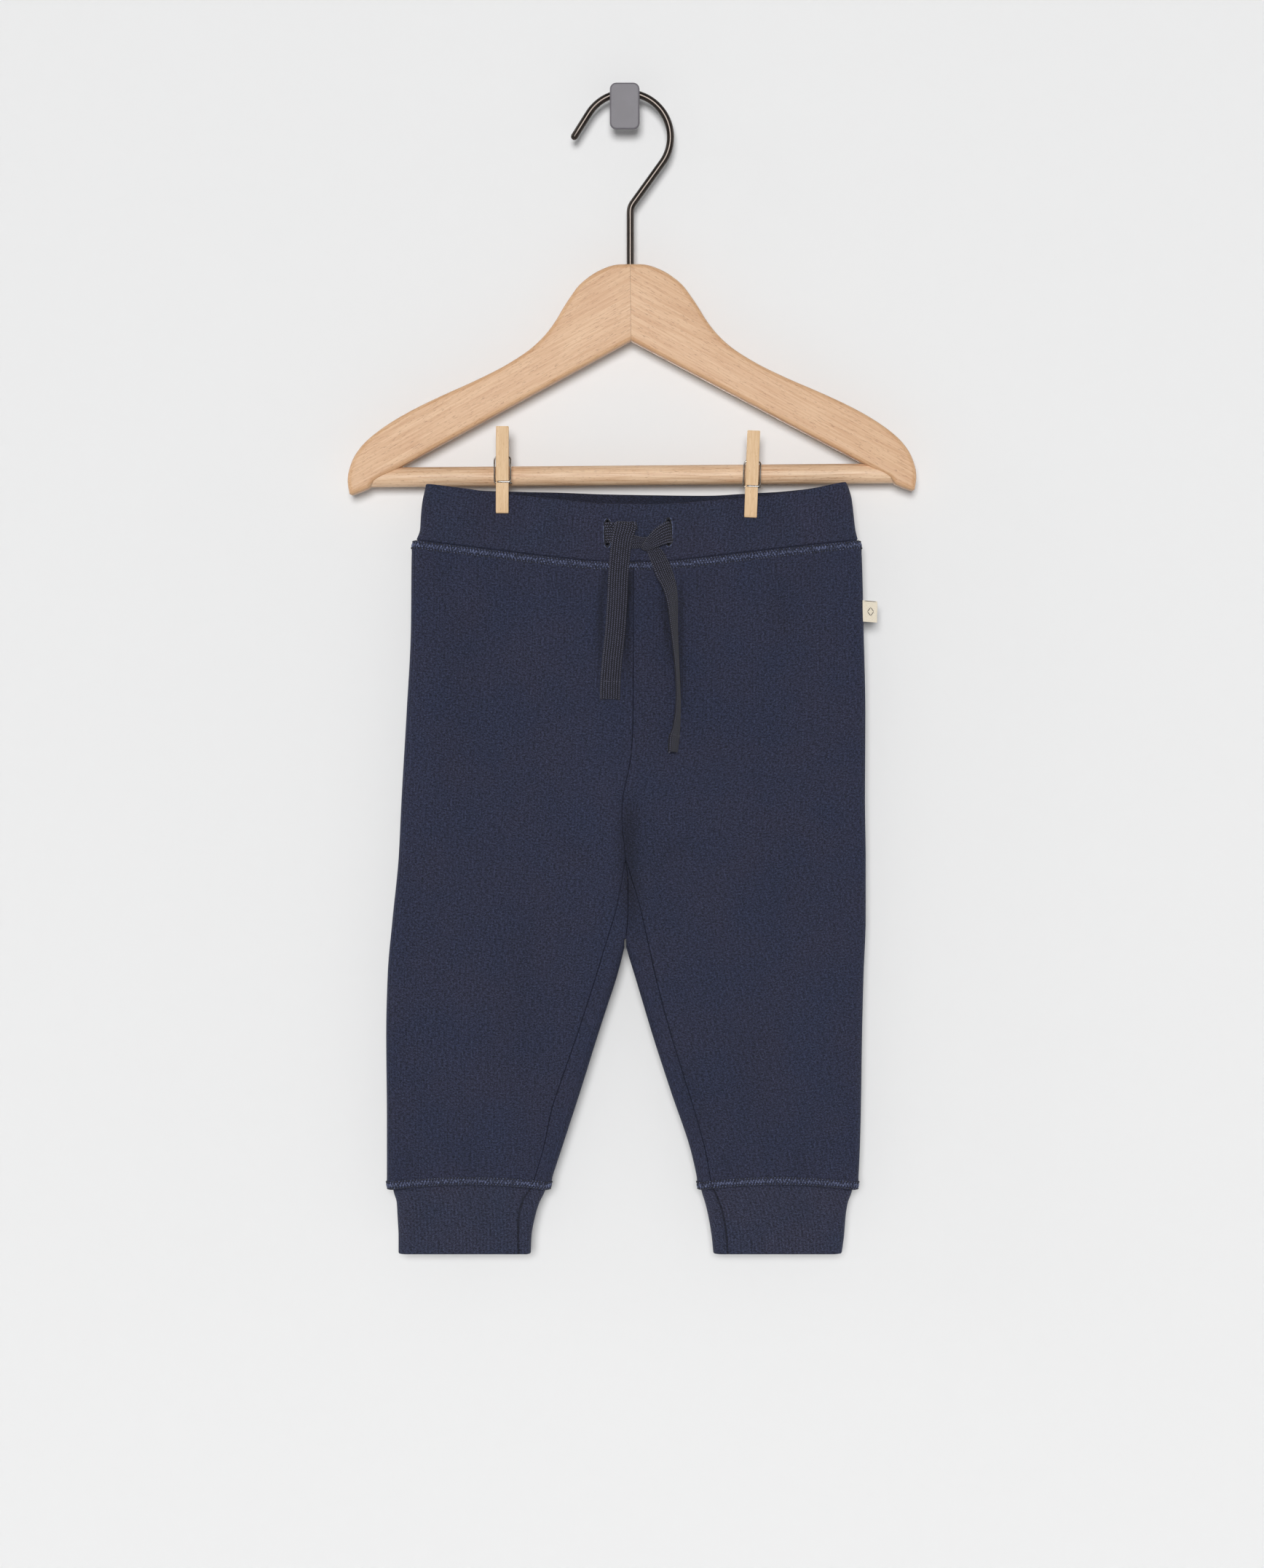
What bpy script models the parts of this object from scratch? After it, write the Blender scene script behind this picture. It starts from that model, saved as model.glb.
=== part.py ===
"""Jogger sweatpants on a beech hanger, held by two mini pegs and hung on a small wall hook.

Sizes are in millimetres and become metres in the meshes. The origin is the middle of the wall hook's
flat back, on the wall: +X is the viewer's right, +Y goes into the wall and +Z is up. Left and right in
the names are the viewer's, looking at the front. Pieces keep SEAM between them.
"""
from collections import namedtuple
from math import atan2, cos, pi, radians, sin

import bmesh
import bpy
import numpy as np
from mathutils import Matrix, Vector

MM = 0.001
SEAM = 0.3
SIDE_SEAM = 0.45
WAIST_SEAM = 0.6
STRIP_SEAM = 0.6
SADDLE_SEAM = 0.9

# Wall hook: a turned stem with a wall flange, and a rounded plate on its end
STEM_RADIUS = 3.8
FLANGE_RADIUS = 7.5
FLANGE_THICKNESS = 2.0
PLATE_WIDTH = 16.4
PLATE_HEIGHT = 25.8
PLATE_THICKNESS = 3.2
PLATE_CORNER = 3.6
PLATE_CENTRE = (-0.7, -1.9)

# Hanger: mitred arms, a bar in blind sockets and a wire hook with a straight tip and a bent neck
HANGER_DEPTH = -16.0
HANGER_THICKNESS = 12.6
HANGER_TOP = -89.0
HANGER_EDGE = 2.2
HANGER_TILT = radians(0.45)
SHAFT_X = 2.4
SHAFT_IN_WOOD = 25.0
WIRE_RADIUS = 2.0
HOOK_RADIUS = 24.44
HOOK_CENTRE = (0.16, -18.36)
HOOK_TIP = 15.0
HOOK_START = radians(147.9)
HOOK_END = radians(-33.0)
HOOK_NECK = [(5.6, -52.6), (4.2, -54.5), (3.2, -56.2), (2.6, -57.9), (SHAFT_X, -59.8)]
MITRE_BLANK = 8.0
BAR_RADIUS = 5.5
BAR_BELOW_TOP = 116.3
BAR_REACH = 149.0

# Pegs: 48 mm legs that turn about a wire coil
PEG_WIDTH = 7.0
PEG_LEG = 3.0
PEG_HANDLE = 16.0
PEG_JAW = 32.0
PEG_HALF_GAP = 0.6
PEG_OPENING = radians(4.1)
SPRING_WIRE = 0.45
SPRING_COIL = 1.55
SPRING_TURNS = 5
SPRING_CROSSING = 14.8
SPRING_REACH = PEG_WIDTH / 2 + SEAM + SPRING_WIRE + 0.2
PEG_BEHIND_JAWS = 0.9

# Cloth: wall thicknesses and the half depth of the flattened tubes
BODY_WALL = 1.4
BAND_WALL = 1.6
CUFF_WALL = 2.0
TAPE_WIDTH = 11.0
TAPE_THICKNESS = 1.3
HALF_DEPTH = 5.2
THIN_FACET = radians(5.0)
BUTTONHOLE_WIDTH = 1.2
BUTTONHOLE_HEIGHT = 15.0

Buttonhole = namedtuple("Buttonhole", "name x middle")
BUTTONHOLES = [Buttonhole("slit_left", -10.6, -238.4), Buttonhole("slit_right", 24.2, -237.8)]

# How far round each outer fold its side seam sits, from the edge towards the front
SIDE_SEAM_ANGLE = {-1: radians(50.0), 1: radians(14.0)}

# Heights: the ends of the body and cuffs, where the front's centre seam splits into the inseams, where
# the legs part, and how the back panels' strips and saddle stand to those places
CROTCH = -417.2
FORK = -464.4
SADDLE_RISE = 6.0
STRIP_TIP = 5.0
BODY_TOP = -241.5
BODY_BOTTOM = -599.2
CUFF_HEM = -634.2
CUFF_ARCH = 2.8

Peg = namedtuple("Peg", "name x coil_height tilt")
PEGS = [
    Peg("peg_left", -68.0, -195.2, 0.0),
    Peg("peg_right", 69.7, -197.6, radians(2.3)),
]

# The hanger's half outline, from the middle of its top round to the tip and back along its inner edge
Outline = namedtuple("Outline", "half_width below_top")
HANGER_OUTER = [
    Outline(0.0, 0.0), Outline(7.5, 0.2), Outline(13.5, 1.8), Outline(20.5, 5.2), Outline(28.0, 11.0),
    Outline(32.8, 17.2), Outline(37.2, 23.8), Outline(41.0, 30.2), Outline(45.6, 36.6),
    Outline(51.4, 42.8), Outline(58.6, 48.6), Outline(71.0, 56.2), Outline(87.4, 64.2),
    Outline(105.6, 72.2), Outline(122.2, 80.2), Outline(135.8, 88.2), Outline(146.6, 96.6),
    Outline(153.0, 104.6), Outline(156.2, 112.8), Outline(156.9, 119.0), Outline(156.0, 125.4),
]
HANGER_INNER = [Outline(154.6, 126.1), Outline(149.6, 124.4), Outline(145.0, 122.4),
                Outline(142.3, 118.7), Outline(0.0, 42.1)]

# Garment outline: height, and the outermost edges at the viewer's left and right
Side = namedtuple("Side", "height left right")
BAND_SIDES = [
    Side(-209.0, -109.8, 120.2), Side(-214.0, -110.7, 122.6), Side(-220.0, -112.0, 124.3),
    Side(-227.0, -112.8, 125.2), Side(-236.0, -113.4, 126.3), Side(-242.0, -115.6, 127.8),
]
BODY_SIDES = [
    Side(-241.0, -116.4, 128.2), Side(-250.0, -118.0, 129.8), Side(-290.0, -118.4, 130.8),
    Side(-337.0, -120.8, 131.8), Side(-385.0, -123.6, 131.6), Side(-417.0, -125.2, 132.0),
    Side(-449.0, -128.4, 132.0), Side(-481.0, -131.2, 130.8), Side(-513.0, -132.0, 130.0),
    Side(-561.0, -131.6, 129.2), Side(-592.0, -131.6, 128.0), Side(-600.0, -130.4, 126.8),
]
CUFF_SIDES = [
    Side(-598.0, -128.4, 124.8), Side(-601.2, -127.6, 124.0), Side(-606.0, -126.2, 122.2),
    Side(-613.0, -125.8, 121.0), Side(-625.0, -125.2, 120.0), Side(-635.0, -125.2, 118.6),
]

# Inner edges of the legs and cuffs
Inner = namedtuple("Inner", "height left right")
BODY_INNER = [
    Inner(-464.4, -0.4, -0.4), Inner(-481.2, -4.8, 4.8), Inner(-497.2, -10.0, 9.6),
    Inner(-513.2, -15.2, 14.4), Inner(-545.2, -25.2, 24.8), Inner(-577.2, -35.6, 35.6),
    Inner(-593.2, -40.8, 39.2), Inner(-600.0, -42.6, 40.4),
]
CUFF_INNER = [
    Inner(-598.0, -44.0, 41.2), Inner(-601.2, -45.2, 42.0), Inner(-606.0, -47.6, 43.5),
    Inner(-613.0, -49.8, 45.2), Inner(-625.0, -52.0, 47.2), Inner(-635.0, -52.4, 48.2),
]

# Seams on the front: the centre seam down to the fork, and the inseams from the crotch to the cuffs
Seam = namedtuple("Seam", "height across")
CENTRE_FRONT = [
    Seam(-241.0, 4.0), Seam(-337.0, 4.0), Seam(-358.4, 3.0), Seam(-367.6, 1.6), Seam(-378.4, -0.8),
    Seam(-386.0, -2.0), Seam(-396.0, -2.0), Seam(-406.0, -1.2), Seam(-417.2, 0.0),
    Seam(-430.0, 1.2), Seam(-447.0, 1.2), Seam(-464.4, -0.4),
]
CENTRE_BACK = [Seam(-241.0, 3.6), Seam(-340.0, 3.2), Seam(-464.4, -0.4)]
Inseam = namedtuple("Inseam", "height left right")
INSEAMS = [
    Inseam(-417.2, -0.2, 0.2), Inseam(-430.0, -2.4, 3.8), Inseam(-444.0, -5.2, 7.9),
    Inseam(-464.0, -11.2, 12.4), Inseam(-486.4, -18.0, 17.5), Inseam(-508.8, -25.2, 23.4),
    Inseam(-532.0, -33.2, 30.5), Inseam(-553.2, -40.4, 37.0), Inseam(-577.2, -45.6, 43.6),
    Inseam(-599.2, -52.0, 47.4),
]

# Waistband: across is 0 at the left fold and 1 at the right fold; heights of its top edge and seam
Waist = namedtuple("Waist", "across front_top back_top front_seam back_seam")
WAIST = [
    Waist(0.00, -210.6, -210.6, -241.5, -241.5), Waist(0.17, -215.6, -214.6, -246.6, -244.6),
    Waist(0.30, -219.0, -215.1, -250.4, -247.0), Waist(0.42, -221.6, -216.1, -253.0, -248.6),
    Waist(0.54, -222.0, -216.6, -253.2, -249.0), Waist(0.66, -220.4, -216.9, -250.6, -247.6),
    Waist(0.78, -217.8, -215.7, -247.2, -245.0), Waist(0.89, -214.6, -213.7, -244.2, -243.0),
    Waist(1.00, -209.4, -209.4, -241.5, -241.5),
]

# Large soft folds of the front: a line from one end to the other, its reach each side and its depth
Fold = namedtuple("Fold", "x0 z0 x1 z1 reach depth")
FRONT_FOLDS = [
    Fold(5.5, -388.0, 9.5, -444.0, 7.5, 1.6),
    Fold(-60.0, -300.0, -70.0, -400.0, 30.0, 0.7),
    Fold(72.0, -290.0, 66.0, -380.0, 28.0, 0.7),
]
BACK_FOLDS = [
    Fold(-2.0, -400.0, 2.0, -446.0, 8.0, 1.4),
    Fold(-48.0, -290.0, -80.0, -390.0, 30.0, 0.8),
    Fold(62.0, -300.0, 84.0, -400.0, 30.0, 0.8),
]

# Drawstring: the middle line of each stretch of tape, the gap under its nearer edge, and how far it
# turns about that line from lying flat
Tape = namedtuple("Tape", "x height lift turn")
LEFT_TAPE = [
    Tape(-0.1, -232.8, 2.6, 0.0), Tape(-2.2, -240.0, 2.6, 0.0), Tape(-3.4, -252.0, 1.8, 0.0),
    Tape(-4.3, -266.0, 1.0, 0.0), Tape(-5.0, -280.0, 0.7, 2.0), Tape(-6.0, -294.0, 0.6, 3.0),
    Tape(-7.6, -308.0, 0.6, 2.0), Tape(-8.5, -320.0, 0.8, 0.0), Tape(-8.6, -329.6, 1.0, 0.0),
]
RIGHT_TAPE = [
    Tape(12.6, -248.8, 0.9, 8.0), Tape(16.4, -254.4, 0.7, 14.0), Tape(21.4, -262.2, 0.5, 24.0),
    Tape(25.0, -270.0, 0.5, 44.0), Tape(26.8, -278.0, 0.5, 62.0), Tape(27.8, -290.0, 0.5, 74.0),
    Tape(28.2, -304.0, 0.5, 78.0), Tape(28.6, -318.0, 0.5, 78.0), Tape(28.8, -334.0, 0.5, 74.0),
    Tape(28.2, -346.0, 0.6, 62.0), Tape(27.0, -358.4, 0.8, 56.0),
]
KNOT = [
    Tape(-9.4, -238.6, 0.5, 0.0), Tape(0.0, -239.6, 0.5, 0.0), Tape(8.0, -241.0, 0.8, 0.0),
    Tape(16.0, -239.6, 0.7, 0.0), Tape(23.2, -237.2, 0.5, 0.0),
]
KNOT_WIDTH = 9.0

# Label: how far it stands out of the side seam, its height and its middle
LABEL_REACH = 7.6
LABEL_HEIGHT = 11.7
LABEL_MIDDLE = -280.5
LABEL_WALL = 0.4
LABEL_LOOP = 0.9

BODY = "jogger_sweatpants_on_hanger"
GARMENT_DEPTH = HANGER_DEPTH - BAR_RADIUS - SEAM - PEG_LEG - PEG_HALF_GAP - PEG_BEHIND_JAWS


def smooth(rows, column, at):
    """Read a table's column at a value of its first column, along a curve that never overshoots."""
    keys = np.array([row[0] for row in rows], dtype=float)
    values = np.array([getattr(row, column) for row in rows], dtype=float)
    if keys[0] > keys[-1]:
        keys, values = keys[::-1], values[::-1]
    steps = np.diff(keys)
    slopes = np.diff(values) / steps
    tangents = np.zeros(len(keys))
    tangents[0], tangents[-1] = slopes[0], slopes[-1]
    for i in range(1, len(keys) - 1):
        if slopes[i - 1] * slopes[i] > 0.0:
            tangents[i] = 2.0 * slopes[i - 1] * slopes[i] / (slopes[i - 1] + slopes[i])
    at = min(max(at, keys[0]), keys[-1])
    i = min(int(np.searchsorted(keys, at, side="right")) - 1, len(steps) - 1)
    t = (at - keys[i]) / steps[i]
    return float(values[i] * (1 + 2 * t) * (1 - t) ** 2 + values[i + 1] * t * t * (3 - 2 * t)
                 + steps[i] * (tangents[i] * t * (1 - t) ** 2 - tangents[i + 1] * t * t * (1 - t)))


def ease(value):
    """Go smoothly from 0 to 1 as value does."""
    value = min(max(value, 0.0), 1.0)
    return value * value * (3.0 - 2.0 * value)


def folds_at(folds, x, z):
    """Depth of the large soft folds at a place on the cloth."""
    depth = 0.0
    for fold in folds:
        length = Vector((fold.x1 - fold.x0, fold.z1 - fold.z0))
        offset = Vector((x - fold.x0, z - fold.z0))
        along = offset.dot(length) / length.length_squared
        across = abs(offset.x * length.y - offset.y * length.x) / length.length
        ends = ease(2.5 * along) * ease(2.5 * (1.0 - along))
        depth += fold.depth * ends * ease(1.0 - across / fold.reach)
    return depth


def collection(name):
    made = bpy.data.collections.new(name)
    bpy.context.scene.collection.children.link(made)
    return made


def material(name, colour, roughness, metallic=0.0):
    made = bpy.data.materials.new(name)
    made.use_nodes = True
    made.diffuse_color = (*colour, 1.0)
    shader = made.node_tree.nodes["Principled BSDF"]
    shader.inputs["Base Color"].default_value = (*colour, 1.0)
    shader.inputs["Roughness"].default_value = roughness
    shader.inputs["Metallic"].default_value = metallic
    return made


def new_object(name, data, finish, home):
    made = bpy.data.objects.new(name, data)
    home.objects.link(made)
    if finish is not None:
        made.data.materials.append(finish)
    return made


def mesh_from(bm, name):
    bmesh.ops.scale(bm, vec=(MM, MM, MM), verts=bm.verts)
    mesh = bpy.data.meshes.new(name)
    bm.to_mesh(mesh)
    bm.free()
    mesh.shade_smooth()
    mesh.set_sharp_from_angle(angle=radians(40))
    return mesh


def add_grid(bm, rows, flipped=False, closed=False):
    """Join rows of points into quads. Rows go down the cloth and points go round it."""
    verts = [[bm.verts.new(point) for point in row] for row in rows]
    for upper, lower in zip(verts, verts[1:]):
        count = len(upper)
        for i in range(count if closed else count - 1):
            j = (i + 1) % count
            corners = (upper[i], lower[i], lower[j], upper[j])
            bm.faces.new(corners[::-1] if flipped else corners)


def cloth(name, grids, wall, finish, home, flipped=False, closed=False, offset=-1.0):
    """Make one piece of cloth: open grids welded where they meet, thickened to a wall."""
    bm = bmesh.new()
    for rows in grids:
        add_grid(bm, rows, flipped, closed)
    bmesh.ops.remove_doubles(bm, verts=bm.verts, dist=0.001)
    piece = new_object(name, mesh_from(bm, name), finish, home)
    shell = piece.modifiers.new("wall", "SOLIDIFY")
    shell.thickness = wall * MM
    shell.offset = offset
    shell.use_even_offset = True
    return piece


def poly_curve(name, points, radius, resolution=2):
    """A round wire or rod along points."""
    data = bpy.data.curves.new(name, "CURVE")
    data.dimensions = "3D"
    data.bevel_depth = radius * MM
    data.bevel_resolution = resolution
    data.use_fill_caps = True
    spline = data.splines.new("POLY")
    spline.points.add(len(points) - 1)
    for spot, point in zip(spline.points, points):
        spot.co = (*(Vector(point) * MM), 1.0)
    return data


def curve_to_mesh(made, home):
    """Replace a curve object by its closed mesh, so that it takes Bevel and Boolean."""
    bpy.context.view_layer.update()
    evaluated = made.evaluated_get(bpy.context.evaluated_depsgraph_get())
    mesh = bpy.data.meshes.new_from_object(evaluated)
    bm = bmesh.new()
    bm.from_mesh(mesh)
    bmesh.ops.remove_doubles(bm, verts=bm.verts, dist=0.00001)
    bmesh.ops.dissolve_limit(bm, angle_limit=radians(0.2), verts=bm.verts, edges=bm.edges)
    bm.to_mesh(mesh)
    bm.free()
    mesh.shade_smooth()
    mesh.set_sharp_from_angle(angle=radians(40))
    solid = bpy.data.objects.new(made.name, mesh)
    solid.matrix_world = made.matrix_world
    name = made.name
    bpy.data.objects.remove(made)
    solid.name = name
    home.objects.link(solid)
    return solid


def flat_piece(name, outline, thickness, finish, home, edge=0.0, segments=2):
    """A flat outline in X and Z, centred in depth on its own origin, with rounded edges."""
    data = bpy.data.curves.new(name, "CURVE")
    data.dimensions = "2D"
    data.fill_mode = "BOTH"
    data.extrude = thickness / 2 * MM
    spline = data.splines.new("POLY")
    spline.points.add(len(outline) - 1)
    spline.use_cyclic_u = True
    for spot, (x, z) in zip(spline.points, outline):
        spot.co = (x * MM, z * MM, 0.0, 1.0)
    flat = new_object(name, data, finish, home)
    flat.rotation_euler = (pi / 2, 0.0, 0.0)
    piece = curve_to_mesh(flat, home)
    if edge > 0.0:
        rounding = piece.modifiers.new("edge", "BEVEL")
        rounding.width = edge * MM
        rounding.segments = segments
        rounding.limit_method = "ANGLE"
        rounding.angle_limit = radians(50)
    return piece


def cut(piece, cutter):
    removal = piece.modifiers.new(f"cut {cutter.name}", "BOOLEAN")
    removal.operation = "DIFFERENCE"
    removal.object = cutter
    removal.solver = "EXACT"


def box_cutter(name, low, high, home):
    bm = bmesh.new()
    bmesh.ops.create_cube(bm, size=1.0)
    low, high = Vector(low), Vector(high)
    bmesh.ops.scale(bm, vec=high - low, verts=bm.verts)
    bmesh.ops.translate(bm, vec=(low + high) / 2, verts=bm.verts)
    return hide(new_object(name, mesh_from(bm, name), None, home))


def rod_cutter(name, start, end, radius, sides, home):
    bm = bmesh.new()
    start, end = Vector(start), Vector(end)
    bmesh.ops.create_cone(bm, cap_ends=True, segments=sides, radius1=radius, radius2=radius,
                          depth=(end - start).length)
    turn = Vector((0, 0, 1)).rotation_difference(end - start).to_matrix().to_4x4()
    bmesh.ops.transform(bm, matrix=Matrix.Translation((start + end) / 2) @ turn, verts=bm.verts)
    return hide(new_object(name, mesh_from(bm, name), None, home))


def hide(cutter):
    cutter.hide_render = True
    cutter.display_type = "WIRE"
    return cutter


def arc(centre, radius, start, end, count):
    """Points on an arc, as (across, up) pairs; angles in radians from +across."""
    angles = np.linspace(start, end, count)
    return [(centre[0] + radius * cos(a), centre[1] + radius * sin(a)) for a in angles]


# ---------------------------------------------------------------- the wall hook
def build_wall_hook(parts, finish):
    plate_back = HANGER_DEPTH - WIRE_RADIUS - 2 * SEAM
    stem_end = plate_back + SEAM
    profile = [(0.0, 0.0), (FLANGE_RADIUS, 0.0), (FLANGE_RADIUS, -FLANGE_THICKNESS + 0.6),
               (FLANGE_RADIUS - 0.6, -FLANGE_THICKNESS), (STEM_RADIUS + 0.8, -FLANGE_THICKNESS),
               (STEM_RADIUS, -FLANGE_THICKNESS - 0.8), (STEM_RADIUS, stem_end), (0.0, stem_end)]
    bm = bmesh.new()
    verts = [bm.verts.new((radius, 0.0, -depth)) for radius, depth in reversed(profile)]
    for first, second in zip(verts, verts[1:]):
        bm.edges.new((first, second))
    stem = new_object("wall_hook_stem", mesh_from(bm, "wall_hook_stem"), finish, parts)
    stem.rotation_euler = (pi / 2, 0.0, 0.0)
    turning = stem.modifiers.new("turning", "SCREW")
    turning.axis = "Z"
    turning.steps = 32
    turning.render_steps = 32
    turning.use_merge_vertices = True
    turning.merge_threshold = 0.00005
    turning.use_normal_calculate = False

    half_width = PLATE_WIDTH / 2 - PLATE_CORNER
    half_height = PLATE_HEIGHT / 2 - PLATE_CORNER
    outline = []
    for quarter, (across, up) in enumerate([(1, 1), (-1, 1), (-1, -1), (1, -1)]):
        corner = (PLATE_CENTRE[0] + across * half_width, PLATE_CENTRE[1] + up * half_height)
        outline += arc(corner, PLATE_CORNER, quarter * pi / 2, (quarter + 1) * pi / 2, 6)
    plate = flat_piece("wall_hook_plate", outline, PLATE_THICKNESS, finish, parts, edge=0.7)
    plate.location.y = (plate_back - PLATE_THICKNESS / 2) * MM


# ---------------------------------------------------------------- the hanger
def hanger_place():
    """The wooden parts hang turned a little about the foot of the hook's shaft."""
    to_shaft = Matrix.Translation((SHAFT_X * MM, HANGER_DEPTH * MM, HANGER_TOP * MM))
    return to_shaft @ Matrix.Rotation(-HANGER_TILT, 4, "Y")


def hanger_point(half_width, below_top):
    """A place on the hanger's own outline, in the garment's frame."""
    spot = hanger_place() @ Vector((half_width * MM, 0.0, -below_top * MM))
    return spot / MM


def outer_edge(count_between):
    """The arm's outer edge as a smooth curve through its table."""
    points = []
    places = [Vector(row) for row in HANGER_OUTER]
    for i in range(len(places) - 1):
        before = places[max(i - 1, 0)]
        after = places[min(i + 2, len(places) - 1)]
        start, end = places[i], places[i + 1]
        for step in range(count_between):
            t = step / count_between
            leave, arrive = (end - before) / 2, (after - start) / 2
            points.append(start * (1 + 2 * t) * (1 - t) ** 2 + end * t * t * (3 - 2 * t)
                          + leave * t * (1 - t) ** 2 - arrive * t * t * (1 - t))
    return points + [places[-1]]


def build_hanger(parts, cutters, beech, steel):
    slope = (HANGER_INNER[-2].below_top - HANGER_INNER[-1].below_top) / HANGER_INNER[-2].half_width
    outer = [Vector((-MITRE_BLANK, 0.0))] + outer_edge(2)
    inner = [Vector(row) for row in HANGER_INNER[:-1]]
    inner.append(Vector((-MITRE_BLANK, HANGER_INNER[-1].below_top - slope * MITRE_BLANK)))
    bar_drop = -BAR_BELOW_TOP * MM

    socket = rod_cutter("bar_socket", (-BAR_REACH - SEAM, 0, -BAR_BELOW_TOP),
                        (BAR_REACH + SEAM, 0, -BAR_BELOW_TOP), BAR_RADIUS + SEAM, 24, cutters)
    shaft_hole = rod_cutter("shaft_hole", (0, 0, 10), (0, 0, -SHAFT_IN_WOOD - SEAM),
                            WIRE_RADIUS + SEAM, 16, cutters)
    for cutter in (socket, shaft_hole):
        cutter.matrix_world = hanger_place()
    for name, side in (("hanger_left", -1), ("hanger_right", 1)):
        outline = [(side * point.x, -point.y) for point in outer + inner]
        if side > 0:
            outline.reverse()
        arm = flat_piece(name, outline, HANGER_THICKNESS, beech, parts, edge=HANGER_EDGE)
        arm.matrix_world = hanger_place() @ Matrix.Rotation(pi / 2, 4, "X")
        reach = (-30.0 * side, SEAM / 2 * side)
        mitre = box_cutter(f"mitre_{name}", (min(reach), -20, -140), (max(reach), 20, 20), cutters)
        mitre.matrix_world = hanger_place()
        for cutter in (mitre, socket, shaft_hole):
            cut(arm, cutter)

    ends = [(-BAR_REACH, 0, 0), (BAR_REACH, 0, 0)]
    bar = new_object("hanger_bar", poly_curve("hanger_bar", ends, BAR_RADIUS, 12), beech, parts)
    bar.matrix_world = hanger_place() @ Matrix.Translation((0, 0, bar_drop))

    ring = arc(HOOK_CENTRE, HOOK_RADIUS, HOOK_START, HOOK_END, 30)
    tip = (ring[0][0] - HOOK_TIP * sin(HOOK_START), ring[0][1] + HOOK_TIP * cos(HOOK_START))
    foot = [(SHAFT_X, HANGER_TOP - SHAFT_IN_WOOD)]
    path = [(x, HANGER_DEPTH, z) for x, z in [tip] + ring + HOOK_NECK + foot]
    new_object("hanger_hook", poly_curve("hanger_hook", path, WIRE_RADIUS, 3), steel, parts)


# ---------------------------------------------------------------- the pegs
def leg_outline():
    """A leg from the side: out is away from the other leg, up is along the leg from the coil."""
    outer = PEG_HALF_GAP + PEG_LEG
    groove = 2 * SPRING_WIRE + 0.2
    notch_radius = SPRING_COIL + SPRING_WIRE + SEAM
    half_notch = (notch_radius ** 2 - PEG_HALF_GAP ** 2) ** 0.5
    start = atan2(half_notch, PEG_HALF_GAP)
    return ([(PEG_HALF_GAP, -PEG_JAW)] + arc((0.0, 0.0), notch_radius, -start, start, 9)
            + [(PEG_HALF_GAP + 1.4, PEG_HANDLE), (outer - 0.1, PEG_HANDLE),
               (outer, PEG_HANDLE - 1.0),
               (outer, -SPRING_CROSSING + groove / 2), (outer - groove, -SPRING_CROSSING + groove / 2),
               (outer - groove, -SPRING_CROSSING - groove / 2), (outer, -SPRING_CROSSING - groove / 2),
               (outer, -PEG_JAW + 0.8), (outer - 0.6, -PEG_JAW)])


def spring_path():
    """One wire: back arm, coil, front arm. Each arm leaves its end of the coil by a quarter turn, runs
    down beside the legs and crosses a leg in its groove."""
    wire_out = PEG_HALF_GAP + PEG_LEG - SPRING_WIRE - 0.1
    crossing_y = wire_out * cos(PEG_OPENING) + SPRING_CROSSING * sin(PEG_OPENING)
    crossing_z = -SPRING_CROSSING * cos(PEG_OPENING) + wire_out * sin(PEG_OPENING)
    steps = SPRING_TURNS * 10
    half_coil = PEG_WIDTH / 2 - 0.6
    coil = []
    for i in range(steps + 1):
        angle = 2 * pi * SPRING_TURNS * i / steps
        coil.append((-half_coil + 2 * half_coil * i / steps,
                     SPRING_COIL * cos(angle), SPRING_COIL * sin(angle)))
    front_turn = [(half_coil + 0.9, SPRING_COIL * cos(0.6), -SPRING_COIL * sin(0.6)),
                  (SPRING_REACH, 0.2, -SPRING_COIL - 0.1), (SPRING_REACH, -1.2, -3.4)]
    front = [(SPRING_REACH, -crossing_y + 0.35, crossing_z + 1.4),
             (SPRING_REACH - 0.4, -crossing_y, crossing_z + 0.3),
             (SPRING_REACH - 1.2, -crossing_y, crossing_z), (-2.4, -crossing_y, crossing_z)]
    back_turn = [(-half_coil - 0.9, SPRING_COIL, -0.9), (-SPRING_REACH, SPRING_COIL + 0.2, -2.4)]
    back = [(-SPRING_REACH, crossing_y - 0.35, crossing_z + 1.4),
            (-SPRING_REACH + 0.4, crossing_y, crossing_z + 0.3),
            (-SPRING_REACH + 1.2, crossing_y, crossing_z), (SPRING_REACH + 0.3, crossing_y, crossing_z)]
    return list(reversed(back)) + list(reversed(back_turn)) + coil + front_turn + front


def build_pegs(parts, wood, steel):
    for peg in PEGS:
        place = (Matrix.Translation((peg.x * MM, GARMENT_DEPTH * MM, peg.coil_height * MM))
                 @ Matrix.Rotation(peg.tilt, 4, "Y"))
        for face, side in (("front", -1), ("back", 1)):
            leg = flat_piece(f"{peg.name}_{face}", leg_outline(), PEG_WIDTH, wood, parts, edge=0.35,
                             segments=1)
            open_jaw = Matrix.Rotation(side * PEG_OPENING, 4, "X")
            sideways = Matrix.Rotation(side * pi / 2, 4, "Z") @ Matrix.Rotation(pi / 2, 4, "X")
            leg.matrix_world = place @ open_jaw @ sideways
        name = f"{peg.name}_spring"
        spring = new_object(name, poly_curve(name, spring_path(), SPRING_WIRE, 1), steel, parts)
        spring.matrix_world = place


# ---------------------------------------------------------------- the garment
def waist_across(x):
    """0 at the left fold and 1 at the right one, at the height of the waist."""
    return (x - BAND_SIDES[-1].left) / (BAND_SIDES[-1].right - BAND_SIDES[-1].left)


def front_y(x, z):
    return GARMENT_DEPTH - HALF_DEPTH + folds_at(FRONT_FOLDS, x, z)


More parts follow.
